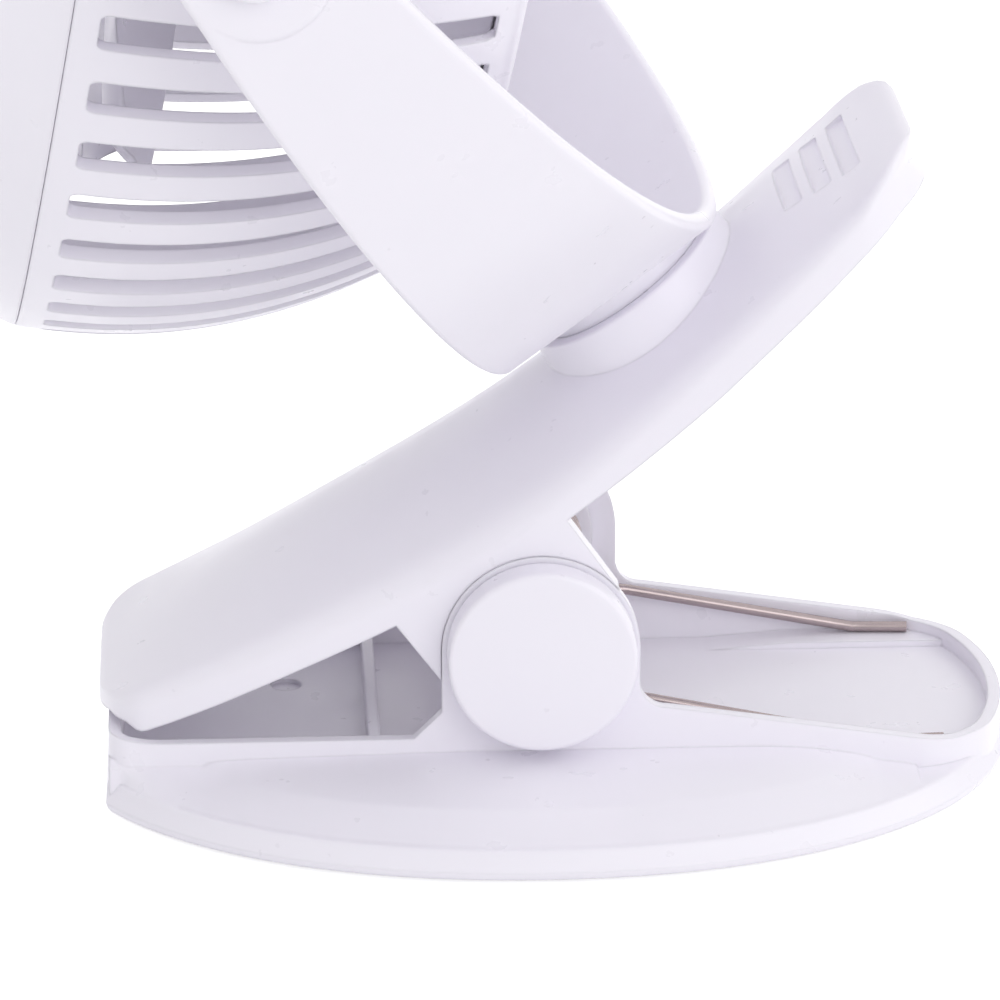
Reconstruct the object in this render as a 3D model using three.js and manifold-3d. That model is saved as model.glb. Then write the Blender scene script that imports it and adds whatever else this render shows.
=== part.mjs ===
// Clip fan on an oval base: two sprung jaws, a swivelling U-shaped yoke and a tilting fan head.
// Millimetres, +Z up. X runs along the clip, from the jaw tips (-X) to the handle (+X).
// The clip hinge is parallel to Y, above x = 0. The near side is -Y.

import * as THREE from 'three';
import { mergeVertices } from 'three/addons/utils/BufferGeometryUtils.js';
import Module from 'manifold-3d';

const wasm = await Module();
wasm.setup();

// ---------------------------------------------------------------- driving dimensions

const clearance = 0.3; // between pieces that touch or turn in each other
const sliver = 0.004; // corners nearer than this to the line between their neighbours are dropped

// Base, measured up from the lower edge of its skirt
const footRise = 0.5; // the pad lifts the skirt off the table by this much
const baseHalfLength = 56;
const baseHalfWidth = 43.9;
const baseFullness = 2.1; // 2 is an ellipse, more is squarer
const baseTipEnd = 49.7; // the oval is cut square here, on the jaw-tip side
const skirtHeight = 3.1;
const skirtDraft = 1.3;
const skirtFoot = 0.5; // height of the rounded lower and upper edges of the skirt
const skirtFootInset = 0.4;
const deckHeight = 6.2; // where the deck meets the walls of the box, over the level stretch
const deckLevelFrom = -10;
const deckLevelTo = 24;
const deckTipFall = 0.45; // lower at the tip end
const deckTipRun = 30;
const deckHandleFall = 2.8; // lower this far past the level stretch, on the way to the handle
const deckHandleRun = 20;
const deckStepOut = 0.2; // the deck covers the foot of the box walls by this much
const creaseShare = 0.68; // the crescent crease, as its share of the rise of the deck
const creaseInset = 9;
const shellWall = 1.6;
const boxHalfWidth = 20.7;
const boxWall = 1.5;
const boxEndInset = 0.8; // draft of the end walls above the skirt
const cornerRadius = 2.5; // of the box at the tip end
const handleCornerAlong = 6; // round corners of the box at the handle end
const handleCornerAcross = 7;
const floorTop = 4;
const floorThickness = 1.4;
const rimHeight = 7.8; // rim of the walls on the tip side
const lipHeight = 9.2; // raised lip across the tip end
const lipRun = 6.5;
const rimAtEar = 11.1; // rim where it leaves the ear on the handle side
const rimAtEnd = 6.1;
const rimLevelRun = 8.4; // level stretch of the rim at the handle end
const padMargin = 1.5; // from the pad to the inside of the skirt
const ribThickness = 1.4;
const ribOffset = 18.9; // cross rib under the jaws, from the hinge
const ribHeight = 3.4;
const channelRibHeight = 1.6; // low ribs beside the spring legs
const channelRibThickness = 0.8;
const channelRibInset = 5.9;
const channelRibStart = 14;
const markRadius = 1.8; // shallow mark on the floor
const markDepth = 0.5;
const markX = -28.7;
const markY = 6.4;

// Hinge
const hingeHeight = 18.4; // above the lower edge of the skirt
const earRadius = 11.3;
const earFillet = 3.2;
const pinRadius = 2;
const capRadius = 10.75;
const capStand = 4.3; // how far the hinge caps stand out
const capEdge = 0.7;
const sleeveRadius = 4.6;
const pinStand = 2; // how far the pin reaches into the hinge caps

// Torsion spring
const wireRadius = 0.65;
const coilRadius = 6.4;
const coilTurns = 3;
const coilPitch = 1.85;
const coilInset = 3.2; // from the inside of the box wall to the outermost turn
const lowerLegKnee = [12.4, 1]; // the lower leg bends here: along the base, and below the coil
const lowerLegEnd = 46.2;
const lowerLegRise = 0.85; // its end above the floor of the tray
const upperLegRun = [-3, 6.5]; // where the upper leg lies along the underside of the collar

// Upper jaw, a crowned channel
const jawTip = 50.4;
const jawHandle = 43.4;
const jawHalfWidth = boxHalfWidth; // the sides are flush with the box
const jawWall = 1.8;
const jawMidHeight = 46.5; // height of the straight crest line over the hinge
const jawSlope = 0.7;
const jawSag = 1.8;
const jawSagCentre = -2;
const jawSagReach = 32;
const crownHeight = 8.5;
const crownCentre = -3;
const crownReachTip = 46;
const crownReachHandle = 43;
const flangeHeight = 4.5;
const flangeGain = 1.4; // deeper towards the handle
const flangeGainFrom = 4;
const flangeGainRun = 16;
const edgeRound = 2.2; // top edge of the sides
const handleRound = 1; // added to it at the end of the handle
const tipSharp = 1.1; // taken off it at the tip
const endRoundInset = 0.6; // leaves a short upright face at both ends
const handleLean = 1.1; // the end face leans back by this much
const tipTaperStart = -26;
const tipTaper = 2.3; // on each side
const tipDrop = 0.3;
const tipNest = 0.8; // the flange behind the tip sits this far below the lip
const tipCorner = [5.5, 9.5]; // along and across the jaw
const handleTaperStart = 26;
const handleTaper = 2.8;
const handleCorner = [8, 10];
const earThickness = 3.3;
const tongueRadius = 8.4;
const earTop = [-17, 2.9]; // where the ear meets the flange, tip side and handle side
const earFoot = [[-11, 14.4], [8.9, 25.5]]; // corners beside the hinge, above the skirt's edge
const gripSlotWidth = 2.2;
const gripSlotPitch = 4;
const gripSlotFirst = 24.7; // along the handle from the swivel axis
const gripSlotLength = 14.2;
const gripSlotGrowth = 1.6;
const gripSlotDepth = 0.9;

// Swivel
const swivelTilt = 36.9 * Math.PI / 180; // the swivel axis leans towards the jaw tips
const swivelX = 9.3;
const swivelZ = 58.1; // above the lower edge of the skirt
const footRadius = 11.1;
const footDepth = 5.4;
const collarRadius = 12.8;
const collarDrop = 2; // collar rim below the underside of the yoke
const collarDepth = 8.4;
const collarFlare = 0.5; // the collar is this much wider halfway down
const collarFlareDepth = 4;
const stemRadius = 4;
const washerRadius = 7.6;
const washerThickness = 1;
const swivelScrewHead = 3.4;
const swivelScrewLength = 7;

// Yoke, half an ellipse
const yokeHalfSpan = 74.4;
const yokeDepth = 68.3;
const yokeThickness = 2.3;
const yokeHalfWidth = 14.6; // at the foot
const yokeHalfWidthTop = 8.3; // at the tilt pivots

// Head: distances along its axis are measured back from the seam
const headTilt = 42.8 * Math.PI / 180; // fan axis from the swivel axis
const seamToPivot = 16.5;
const seamRadius = 62;
const shellDepth = 47;
const backRadius = 44.9;
const backRound = 1;
const headWall = 1.8;
const slotCount = 50;
const slotShare = 0.5; // slot width over pitch
const slotStart = 2.9;
const backBand = 3.5; // closed band between the slots and the back
const slotEnd = shellDepth - backBand;
const podRadius = 32;
const podDepth = 20.5;
const podFront = shellDepth - podDepth;
const podWall = 1.7;
const tiltBossRadius = 8.5;
const tiltNeckRadius = 5.6; // the end that meets the yoke
const tiltNeck = 2.6;
const tiltPinRadius = 2.4;
const tiltCapRadius = 3.6;
const tiltCapStand = 2.2;
const tiltPinSeat = 3; // depth of the pin's hole inside the boss, from the shell's surface
const tiltPinStand = 1.1; // how far the pin reaches past the yoke

// Front ring and grille
const ringDepth = 9.6;
const ringTaper = 2.1;
const ringLip = 3.2;
const ringEdge = 1.2; // rounding of its front edge
const ringStep = 1.3; // wall of its spigot, and the step behind its lip
const spigotLength = 2.2; // of the front ring inside the rear shell
const grilleDepth = 2.2;
const grilleSeat = 0.2; // its face lies this far behind the front of the ring
const grilleRing = 2.2; // outer ring, across
const grilleMidRingWidth = 1.4;
const grilleBars = 32; // outside the middle ring; half as many inside it
const grilleBarWidth = 1.1;
const grilleHub = 14;
const grilleMidRing = 36;

// Impeller and drive
const bladeCount = 5;
const impellerRadius = 51;
const hubRadius = 12.4;
const hubFront = 0.8;
const hubDepth = 11.6;
const bladeThickness = 1.4;
const bladePitch = 34 * Math.PI / 180;
const bladeUntwist = 0.35; // share of the pitch lost at the blade's tip
const bladeChord = 15; // at the least
const bladeChordGain = 14; // more than that where the blade is widest
const bladeCamber = 2.2;
const bladeFlatten = 0.62; // the blade's slope along the axis
const bladeSweep = 0.35; // the tip runs ahead of the root by this angle
const hubWall = 1.6;
const hubRound = 1.5;
const shaftSeat = 2; // solid front of the hub, ahead of the shaft's bore
const shaftInMotor = 3.5;
const motorBoss = [3, 0.8]; // radius and height of the bearing boss
const motorRadius = 12;
const motorToHub = 1.8;
const shaftRadius = 1;

// Electronics
const batteryWidth = 46;
const batteryHeight = 34;
const batteryDepth = 9;
const boardWidth = 50;
const boardHeight = 30;
const boardThickness = 1.6;
const coverThickness = 1.8;
const buttonRadius = 4.6;
const buttonStand = 1.4;
const buttonOffset = 9;
const buttonTravel = 0.6;
const socketWidth = 9;
const socketHeight = 3.4;
const socketDepth = 6.4;
const socketWall = 0.4;
const socketInset = 0.3; // its mouth lies this far inside the cover
const switchWidth = 6;
const switchPlunger = [1.6, 0.6]; // radius and height
const lampRadius = 1.5;

// Fasteners
const screwRadius = 1.2;
const screwHeadRadius = 2.3;
const screwHeadDepth = 1.1;

// ---------------------------------------------------------------- materials

const material = (color, roughness, metalness = 0) =>
  new THREE.MeshStandardMaterial({ color, roughness, metalness });
const whiteAbs = material(0xf1eff3, 0.3);
const greyRubber = material(0xb9bcc0, 0.85);
const springSteel = material(0xb4b0ac, 0.25, 1);
const plainSteel = material(0x9a9c9f, 0.4, 1);
const motorSteel = material(0x8d9095, 0.35, 1);
const boardGreen = material(0x1f6b3d, 0.6);
const cellBlue = material(0x3d5f8f, 0.5);
const blackPlastic = material(0x222326, 0.5);
const socketSteel = material(0xc9cbce, 0.3, 1);
const lampClear = material(0xe8f2f6, 0.15);

// ---------------------------------------------------------------- helpers

const vec = (x, y, z) => new THREE.Vector3(x, y, z);
const range = (count) => Array.from({ length: count }, (_, i) => i);

/** Closed solid from an indexed or plain geometry, its faces turned outwards. */
function solid(geometry) {
  const bare = geometry.clone();
  bare.deleteAttribute('normal');
  bare.deleteAttribute('uv');
  const merged = mergeVertices(bare, 1e-4);
  const points = merged.attributes.position.array;
  const corners = Array.from(merged.index.array);
  const kept = [];
  let volume = 0;
  for (let i = 0; i < corners.length; i += 3) {
    const [a, b, c] = corners.slice(i, i + 3);
    if (a === b || b === c || a === c) continue;
    kept.push(a, b, c);
    const p = [a, b, c].map((k) => vec(points[3 * k], points[3 * k + 1], points[3 * k + 2]));
    volume += p[0].dot(p[1].clone().cross(p[2]));
  }
  if (volume < 0) {
    for (let i = 0; i < kept.length; i += 3) [kept[i], kept[i + 1]] = [kept[i + 1], kept[i]];
  }
  return new wasm.Manifold(new wasm.Mesh({
    numProp: 3,
    vertProperties: new Float32Array(points),
    triVerts: new Uint32Array(kept),
  }));
}

function geometryOf(body) {
  const { numProp, vertProperties, triVerts } = body.getMesh();
  const count = vertProperties.length / numProp;
  const points = new Float32Array(count * 3);
  for (let i = 0; i < count; i += 1) {
    for (let k = 0; k < 3; k += 1) points[3 * i + k] = vertProperties[numProp * i + k];
  }
  const geometry = new THREE.BufferGeometry();
  geometry.setAttribute('position', new THREE.BufferAttribute(points, 3));
  geometry.setIndex(new THREE.BufferAttribute(triVerts, 1));
  return geometry;
}

function mesh(name, body, colour) {
  const geometry = geometryOf(body.simplify(sliver)).toNonIndexed();
  geometry.computeVertexNormals();
  const piece = new THREE.Mesh(geometry, colour);
  piece.name = name;
  return piece;
}

const moved = (geometry, matrix) => geometry.clone().applyMatrix4(matrix);
const shift = (x, y, z) => new THREE.Matrix4().makeTranslation(x, y, z);
const turnY = (angle) => new THREE.Matrix4().makeRotationY(angle);
const turnZ = (angle) => new THREE.Matrix4().makeRotationZ(angle);
const union = (bodies) => bodies.reduce((sum, body) => sum.add(body));
const cut = (body, tools) => tools.reduce((rest, tool) => rest.subtract(tool), body);

/** Solid through equal loops of points. Point i of a loop faces point size - 1 - i across it. */
function loft(loops) {
  const size = loops[0].length;
  const points = loops.flat().flatMap((p) => [p.x, p.y, p.z]);
  const faces = [];
  for (let k = 0; k + 1 < loops.length; k += 1) {
    for (let i = 0; i < size; i += 1) {
      const a = k * size + i;
      const b = k * size + (i + 1) % size;
      faces.push(a, b, b + size, a, b + size, a + size);
    }
  }
  const last = (loops.length - 1) * size;
  for (let i = 0; i < size / 2 - 1; i += 1) {
    const [a, b, c, d] = [i, i + 1, size - 2 - i, size - 1 - i];
    faces.push(a, c, b, a, d, c);
    faces.push(last + a, last + b, last + c, last + a, last + c, last + d);
  }
  const geometry = new THREE.BufferGeometry();
  geometry.setAttribute('position', new THREE.Float32BufferAttribute(points, 3));
  geometry.setIndex(faces);
  return solid(geometry);
}

/** Outline in X and Z, extruded from y0 to y1. */
function sideSlab(outline, y0, y1) {
  const shape = new THREE.Shape(outline.map(([x, z]) => new THREE.Vector2(x, z)));
  const geometry = new THREE.ExtrudeGeometry(shape, { depth: y1 - y0, bevelEnabled: false });
  geometry.rotateX(Math.PI / 2);
  geometry.translate(0, y1, 0);
  return solid(geometry);
}

/** Outline in X and Y, extruded from z0 to z1. */
function planSlab(outline, z0, z1) {
  const shape = new THREE.Shape(outline.map(([x, y]) => new THREE.Vector2(x, y)));
  const geometry = new THREE.ExtrudeGeometry(shape, { depth: z1 - z0, bevelEnabled: false });
  geometry.translate(0, 0, z0);
  return solid(geometry);
}

function box(x0, x1, y0, y1, z0, z1) {
  const geometry = new THREE.BoxGeometry(x1 - x0, y1 - y0, z1 - z0);
  geometry.translate((x0 + x1) / 2, (y0 + y1) / 2, (z0 + z1) / 2);
  return geometry;
}

/** Solid of revolution about Z from [radius, z] points. */
function spun(profile, segments = 48) {
  const points = profile.map(([r, z]) => new THREE.Vector2(r, z));
  const geometry = new THREE.LatheGeometry([...points, points[0]], segments);
  geometry.rotateX(Math.PI / 2);
  return geometry;
}

/** Cylinder about Z between two heights. */
const rod = (radius, z0, z1, segments = 32) =>
  spun([[0, z0], [radius, z0], [radius, z1], [0, z1]], segments);

/** Cylinder about a line parallel to Y through x, z. */
function crossRod(radius, x, z, y0, y1, segments = 40) {
  const geometry = rod(radius, y0, y1, segments);
  geometry.rotateX(-Math.PI / 2);
  geometry.translate(x, 0, z);
  return geometry;
}

const arc = (cx, cy, radius, from, to, steps) => range(steps + 1).map((i) => {
  const angle = from + (to - from) * i / steps;
  return [cx + radius * Math.cos(angle), cy + radius * Math.sin(angle)];
});

/** Pan-head screw about Z: head below z, shank upwards. */
function screw(name, length, headRadius = screwHeadRadius) {
  return mesh(name, solid(spun([
    [0, -screwHeadDepth], [headRadius, -screwHeadDepth], [headRadius, 0],
    [screwRadius, 0], [screwRadius, length], [0, length],
  ], 10)), plainSteel);
}

// ---------------------------------------------------------------- base

const z0 = footRise;
const through = 120; // cutting tools reach this far past every piece
const sunk = 0.5; // ribs start this far inside the floor that they stand on
const fine = 24; // sides of the small bores and pins
const hinge = vec(0, 0, z0 + hingeHeight);
const ovalHalf = (x, inset) => {
  const share = Math.min(1, Math.abs(x) / (baseHalfLength - inset));
  return (baseHalfWidth - inset) * (1 - share ** baseFullness) ** (1 / baseFullness);
};

/** Plan of the box: a straight tip end with round corners and the oval's own handle end. */
function boxPlan(inset) {
  const half = boxHalfWidth - inset;
  const left = -baseTipEnd + boxEndInset / 2 + inset;
  const endOffset = boxEndInset + inset;
  const endReach = (y) => {
    const share = Math.abs(y) / (baseHalfWidth - endOffset);
    return (baseHalfLength - endOffset) * (1 - share ** baseFullness) ** (1 / baseFullness);
  };
  const radius = Math.max(cornerRadius / 4, cornerRadius - inset);
  const across = handleCornerAcross - inset;
  const along = handleCornerAlong - inset;
  const steps = 18;
  const end = range(steps + 1).map((i) => {
    const y = half * Math.sin(Math.PI * (i / steps - 0.5));
    const share = Math.max(0, 1 - (half - Math.abs(y)) / across);
    return [endReach(y) - along * (1 - Math.sqrt(1 - share * share)), y];
  });
  const tip = [
    ...arc(left + radius, half - radius, radius, Math.PI / 2, Math.PI, 4),
    ...arc(left + radius, -half + radius, radius, Math.PI, 1.5 * Math.PI, 4),
  ];
  return { outline: [...end, ...tip], reach: endReach(half) - along };
}

/** Side view of the box walls with the hinge ears. */
function wallProfile() {
  const tip = -baseTipEnd - 1;
  const end = baseHalfLength + 1;
  const top = hinge.z;
  const rim = z0 + rimAtEar;
  const filletX = earRadius + earFillet;
  const filletZ = rim + earFillet;
  return [
    [tip, z0],
    [end, z0],
    [end, z0 + rimAtEnd],
    [baseHalfLength - rimLevelRun, z0 + rimAtEnd],
    ...arc(filletX, filletZ, earFillet, -Math.PI / 2, -Math.PI, 6),
    ...arc(0, top, earRadius, 0, Math.PI, 28),
    [-earRadius, z0 + rimHeight + earFillet],
    [-earRadius - earFillet, z0 + rimHeight],
    ...range(6).map((i) => [
      -baseTipEnd + lipRun * (1 - i / 5),
      z0 + rimHeight + (lipHeight - rimHeight) * (i / 5) ** 2,
    ]),
    [tip, z0 + lipHeight],
  ];
}

/** Skirt: plans of the oval one above the other, cut square at the tip end. */
function skirtBody() {
  const layers = [
    [skirtFootInset + 0.1, 1.1, 0],
    [0.1, 0.3, skirtFoot],
    [0.25, 0, 2 * skirtFoot],
    [skirtDraft, 0.2, skirtHeight - skirtFoot],
    [skirtDraft + skirtFoot, 0.5, skirtHeight],
  ];
  const steps = 24;
  return loft(layers.map(([inset, tipInset, height]) => {
    const left = -baseTipEnd + tipInset;
    const right = baseHalfLength - inset;
    const half = range(steps + 1).map((i) => {
      const x = left + (right - left) * Math.sin(Math.PI / 2 * i / steps);
      return [x, Math.max(0.05, ovalHalf(x, inset))];
    });
    const mirrored = half.map(([x, y]) => [x, -y]).reverse();
    return [...half, ...mirrored].map(([x, y]) => vec(x, y, z0 + height));
  }));
}

/** Height of the deck at the box, above the lower edge of the skirt. */
function deckTop(x) {
  const toTip = Math.min(1, Math.max(0, deckLevelFrom - x) / deckTipRun);
  const toHandle = Math.max(0, x - deckLevelTo) / deckHandleRun;
  const height = deckHeight - deckTipFall * toTip - deckHandleFall * toHandle ** 2;
  return Math.max(skirtHeight, height);
}

/** Half widths of the skirt's upper edge and the crease at x. */
function deckHalf(x) {
  const outside = boxHalfWidth + deckStepOut;
  const top = Math.max(outside, ovalHalf(x, skirtDraft + skirtFoot));
  const crease = Math.max(outside, ovalHalf(x, creaseInset));
  return { top, crease };
}

function deckStations() {
  const first = -baseTipEnd + boxEndInset / 2;
  const last = boxPlan(0).reach;
  const steps = 22;
  return range(steps + 1).map((i) => {
    const angle = Math.PI * i / steps;
    return (first + last) / 2 - (last - first) / 2 * Math.cos(angle);
  });
}

function deckBody() {
  const loops = deckStations().map((x) => {
    const { top, crease } = deckHalf(x);
    const rise = deckTop(x) - skirtHeight;
    const half = [
      [top, z0 + skirtHeight / 2],
      [top, z0 + skirtHeight],
      [crease, z0 + skirtHeight + creaseShare * rise],
      [boxHalfWidth - boxWall / 2, z0 + skirtHeight + rise],
    ];
    const mirrored = half.map(([y, z]) => [-y, z]).reverse();
    return [...half, ...mirrored].map(([y, z]) => vec(x, y, z));
  });
  return loft(loops);
}

/** The hollow under the deck and floor, open below. */
function underHollow() {
  const inner = shellWall;
  const first = -baseTipEnd + 2 * inner;
  const last = boxPlan(0).reach;
  const stations = deckStations().filter((x) => x > first && x < last);
  const under = z0 + floorTop - floorThickness;
  const loops = [first, ...stations, last].map((x) => {
    const { crease } = deckHalf(x);
    const room = Math.max(boxHalfWidth - boxWall / 2, ovalHalf(x, skirtDraft)) - inner;
    const half = [
      [room, z0 - 1],
      [room, z0 + skirtHeight - inner],
      [Math.min(room, Math.max(boxHalfWidth - boxWall, crease - inner)), under],
    ];
    const mirrored = half.map(([y, z]) => [-y, z]).reverse();
    return [...half, ...mirrored].map(([y, z]) => vec(x, y, z));
  });
  return loft(loops);
}

function baseShell() {
  const plan = boxPlan(0).outline;
  const walls = planSlab(plan, z0, z0 + hingeHeight + earRadius + 1)
    .intersect(sideSlab(wallProfile(), -boxHalfWidth - 1, boxHalfWidth + 1));
  const tray = planSlab(boxPlan(boxWall).outline, z0 + floorTop, z0 + hingeHeight + through);
  const pinHole = solid(crossRod(pinRadius + clearance, 0, hinge.z, -through, through, fine));
  const ribEnd = baseHalfLength - boxEndInset - boxWall * 2 - handleCornerAlong / 2;
  const channel = (side) => {
    const y = side * (boxHalfWidth - channelRibInset);
    return solid(box(
      channelRibStart, ribEnd,
      y - channelRibThickness / 2, y + channelRibThickness / 2,
      z0 + floorTop - sunk, z0 + floorTop + channelRibHeight,
    ));
  };
  const rib = solid(box(
    -ribOffset - ribThickness / 2, -ribOffset + ribThickness / 2,
    -boxHalfWidth + boxWall / 2, boxHalfWidth - boxWall / 2,
    z0 + floorTop - sunk, z0 + floorTop + ribHeight,
  ));
  const mark = solid(moved(rod(markRadius, 0, 2 * markDepth, fine),
    shift(markX, markY, z0 + floorTop - markDepth)));
  const hollowed = union([skirtBody(), deckBody(), walls]).subtract(underHollow()).subtract(tray);
  return cut(union([hollowed, channel(1), channel(-1), rib]), [pinHole, mark]);
}

/** Flat outline inside the skirt, for the pad that fills the hollow. */
function padPlan() {
  const left = -baseTipEnd + 2 * shellWall + padMargin;
  const right = boxPlan(0).reach - shellWall - padMargin;
  const inset = skirtDraft + shellWall + padMargin;
  const steps = 24;
  const side = range(steps + 1).map((i) => {
    const x = right + (left - right) * (1 - Math.cos(Math.PI * i / steps)) / 2;
    return [x, ovalHalf(x, inset)];
  });
  return [...side, ...side.slice().reverse().map(([x, y]) => [x, -y])];
}

function base() {
  const group = new THREE.Group();
  group.add(mesh('base_shell', baseShell(), whiteAbs));
  const padTop = z0 + skirtHeight - shellWall - clearance;
  const pad = planSlab(padPlan(), 0, padTop);
  group.add(mesh('foot_pad', pad, greyRubber));
  return group;
}

// ---------------------------------------------------------------- upper jaw

const bump = (x, centre, reach) => {
  const share = Math.min(1, Math.abs(x - centre) / reach);
  return Math.cos(share * Math.PI / 2) ** 2;
};
const tipShare = (x) => Math.max(0, (tipTaperStart - x) / (tipTaperStart + jawTip));
const crest = (x) => z0 + jawMidHeight + jawSlope * x
  - jawSag * bump(x, jawSagCentre, jawSagReach) - tipDrop * tipShare(x) ** 2;
const crown = (x) => {
  const reach = x < crownCentre ? crownReachTip : crownReachHandle;
  const share = Math.min(1, Math.abs(x - crownCentre) / reach);
  return crownHeight * (1 - share * share);
};

/** Half width of the jaw in plan, with elliptic corners at both ends. */
function jawHalf(x, inset) {
  const past = Math.max(0, x - handleTaperStart) / (jawHandle - handleTaperStart);
  const side = jawHalfWidth - handleTaper * past ** 2 - tipTaper * tipShare(x) ** 2 - inset;
  const corner = (room, [along, across]) => {
    const share = Math.max(0, 1 - Math.max(0, room) / along);
    return across * (1 - Math.sqrt(1 - share * share));
  };
  return side - corner(x + jawTip - inset, tipCorner) - corner(jawHandle - inset - x, handleCorner);
}

const flangeLow = (x) => {
  const gain = Math.min(1, Math.max(0, (x - flangeGainFrom) / flangeGainRun));
  const low = crest(x) - crown(x) - flangeHeight - flangeGain * gain;
  const overLip = x < -baseTipEnd + boxEndInset + boxWall + 0.4;
  return Math.max(low, z0 + lipHeight + clearance + 0.1 - (overLip ? 0 : tipNest));
};

/** Filled jaw: crowned top and straight sides, inset by a wall and reaching lower by a drop. */
function jawBlock(inset, drop) {
  const ends = 6;
  const body = 11;
  const first = -jawTip + inset;
  const last = jawHandle - inset;
  const easing = (i) => 1 - Math.cos(Math.PI / 2 * i / ends);
  const tipX = range(ends).map((i) => first + tipCorner[0] * easing(i));
  const handleX = range(ends).map((i) => last - handleCorner[0] * easing(i)).reverse();
  const from = first + tipCorner[0];
  const to = last - handleCorner[0];
  const middleX = range(body + 1).map((i) => from + (to - from) * i / body);
  const rounding = (distance, round) => {
    const past = Math.max(0, round - Math.max(0, distance));
    return round - Math.sqrt(round * round - past * past);
  };
  const loops = [...tipX, ...middleX, ...handleX].map((x) => {
    const nearEnd = Math.max(0, 1 - (last - x) / handleCorner[0]);
    const nearTip = Math.max(0, 1 - (x - first) / tipCorner[0]);
    const round = Math.max(0.5, edgeRound + handleRound * nearEnd - tipSharp * nearTip - inset);
    const half = jawHalf(x, inset);
    const left = [0, 0.3 * round, round, 0.35 * half, 0.68 * half].map((d) => half - d);
    const top = [...left, 0, ...left.slice().reverse().map((y) => -y)].map((y) => {
      const roof = crest(x) - crown(x) * (y / jawHalfWidth) ** 2 - inset * Math.hypot(1, jawSlope);
      const toEnd = Math.min(x - first, last - x) + endRoundInset;
      return [y, roof - rounding(Math.min(half - Math.abs(y), toEnd), round)];
    });
    const low = Math.min(flangeLow(x) - drop, top[0][1] - 0.5);
    const lean = handleLean * nearEnd;
    return [
      vec(x + lean / 2, half, low),
      ...top.map(([y, z]) => vec(x - lean, y, z)),
      vec(x + lean / 2, -half, low),
    ];
  });
  return loft(loops);
}

const swivelFrame = new THREE.Matrix4()
  .multiply(shift(swivelX, 0, z0 + swivelZ))
  .multiply(turnY(-swivelTilt));
const onSwivel = (geometry) => solid(moved(geometry, swivelFrame));

/** One ear of the upper jaw: flush outside round the base's ear, with a tongue inside it. */
function jawEar(side) {
  const outline = [
    [earTop[0], flangeLow(earTop[0]) + sunk],
    [earFoot[0][0], z0 + earFoot[0][1]],
    [0, hinge.z],
    [earFoot[1][0], z0 + earFoot[1][1]],
    [earTop[1], flangeLow(earTop[1])],
    [earTop[1], flangeLow(earTop[1]) + sunk],
  ];
  const outer = jawHalfWidth;
  const inner = jawHalfWidth - earThickness;
  const span = [side * outer, side * inner].sort((a, b) => a - b);
  return sideSlab(outline, ...span)
    .add(solid(crossRod(tongueRadius, 0, hinge.z, ...span, 32)));
}

/** Room in the side of the upper jaw for the ear of the base. */
function earRelief(side) {
  const wallInside = boxHalfWidth - boxWall - clearance;
  const span = [side * wallInside, side * (jawHalfWidth + 1)].sort((a, b) => a - b);
  const round = earRadius + clearance;
  return solid(crossRod(round, 0, hinge.z, ...span, 32))
    .add(solid(box(-round, round, ...span, 0, hinge.z)));
}

function upperJaw() {
  const shell = jawBlock(0, 0).subtract(jawBlock(jawWall, through));
  const ears = [jawEar(-1), jawEar(1)];
  const collar = onSwivel(spun([
    [0, -collarDepth - collarDrop],
    [collarRadius, -collarDepth - collarDrop],
    [collarRadius + collarFlare, -collarDrop - collarFlareDepth],
    [collarRadius, -collarDrop - collarFlare],
    [collarRadius - collarFlare, -collarDrop],
    [0, -collarDrop],
  ], 40));
  const recess = onSwivel(rod(footRadius + clearance, -footDepth - clearance, through, 40));
  const bore = onSwivel(rod(stemRadius + clearance, -through, through, fine));
  const slots = [0, 1, 2].map((i) => {
    const along = gripSlotFirst + i * gripSlotPitch;
    const length = gripSlotLength + i * gripSlotGrowth;
    const x = swivelX + along * Math.cos(swivelTilt);
    const surface = crest(x);
    const tool = new THREE.BoxGeometry(gripSlotWidth, length, 2 * crownHeight);
    const place = shift(x, 0, surface)
      .multiply(turnY(-Math.atan(jawSlope)))
      .multiply(shift(0, 0, crownHeight - gripSlotDepth));
    return solid(moved(tool, place));
  });
  const pinHole = solid(crossRod(pinRadius + clearance, 0, hinge.z, -through, through, fine));
  const tools = [earRelief(-1), earRelief(1), recess, bore, pinHole, ...slots];
  return cut(union([shell, ...ears, collar]), tools);
}

// ---------------------------------------------------------------- hinge pieces and spring

function hingeCap(name, side) {
  const face = boxHalfWidth + clearance;
  const seat = boxHalfWidth + pinStand + clearance;
  const profile = [
    [0, seat], [pinRadius + clearance, seat], [pinRadius + clearance, face],
    [capRadius, face], [capRadius, boxHalfWidth + capStand - capEdge],
    [capRadius - capEdge, boxHalfWidth + capStand], [0, boxHalfWidth + capStand],
  ];
  const geometry = spun(profile, 32);
  geometry.rotateX(side > 0 ? -Math.PI / 2 : Math.PI / 2);
  geometry.translate(0, 0, hinge.z);
  return mesh(name, solid(geometry), whiteAbs);
}

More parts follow.
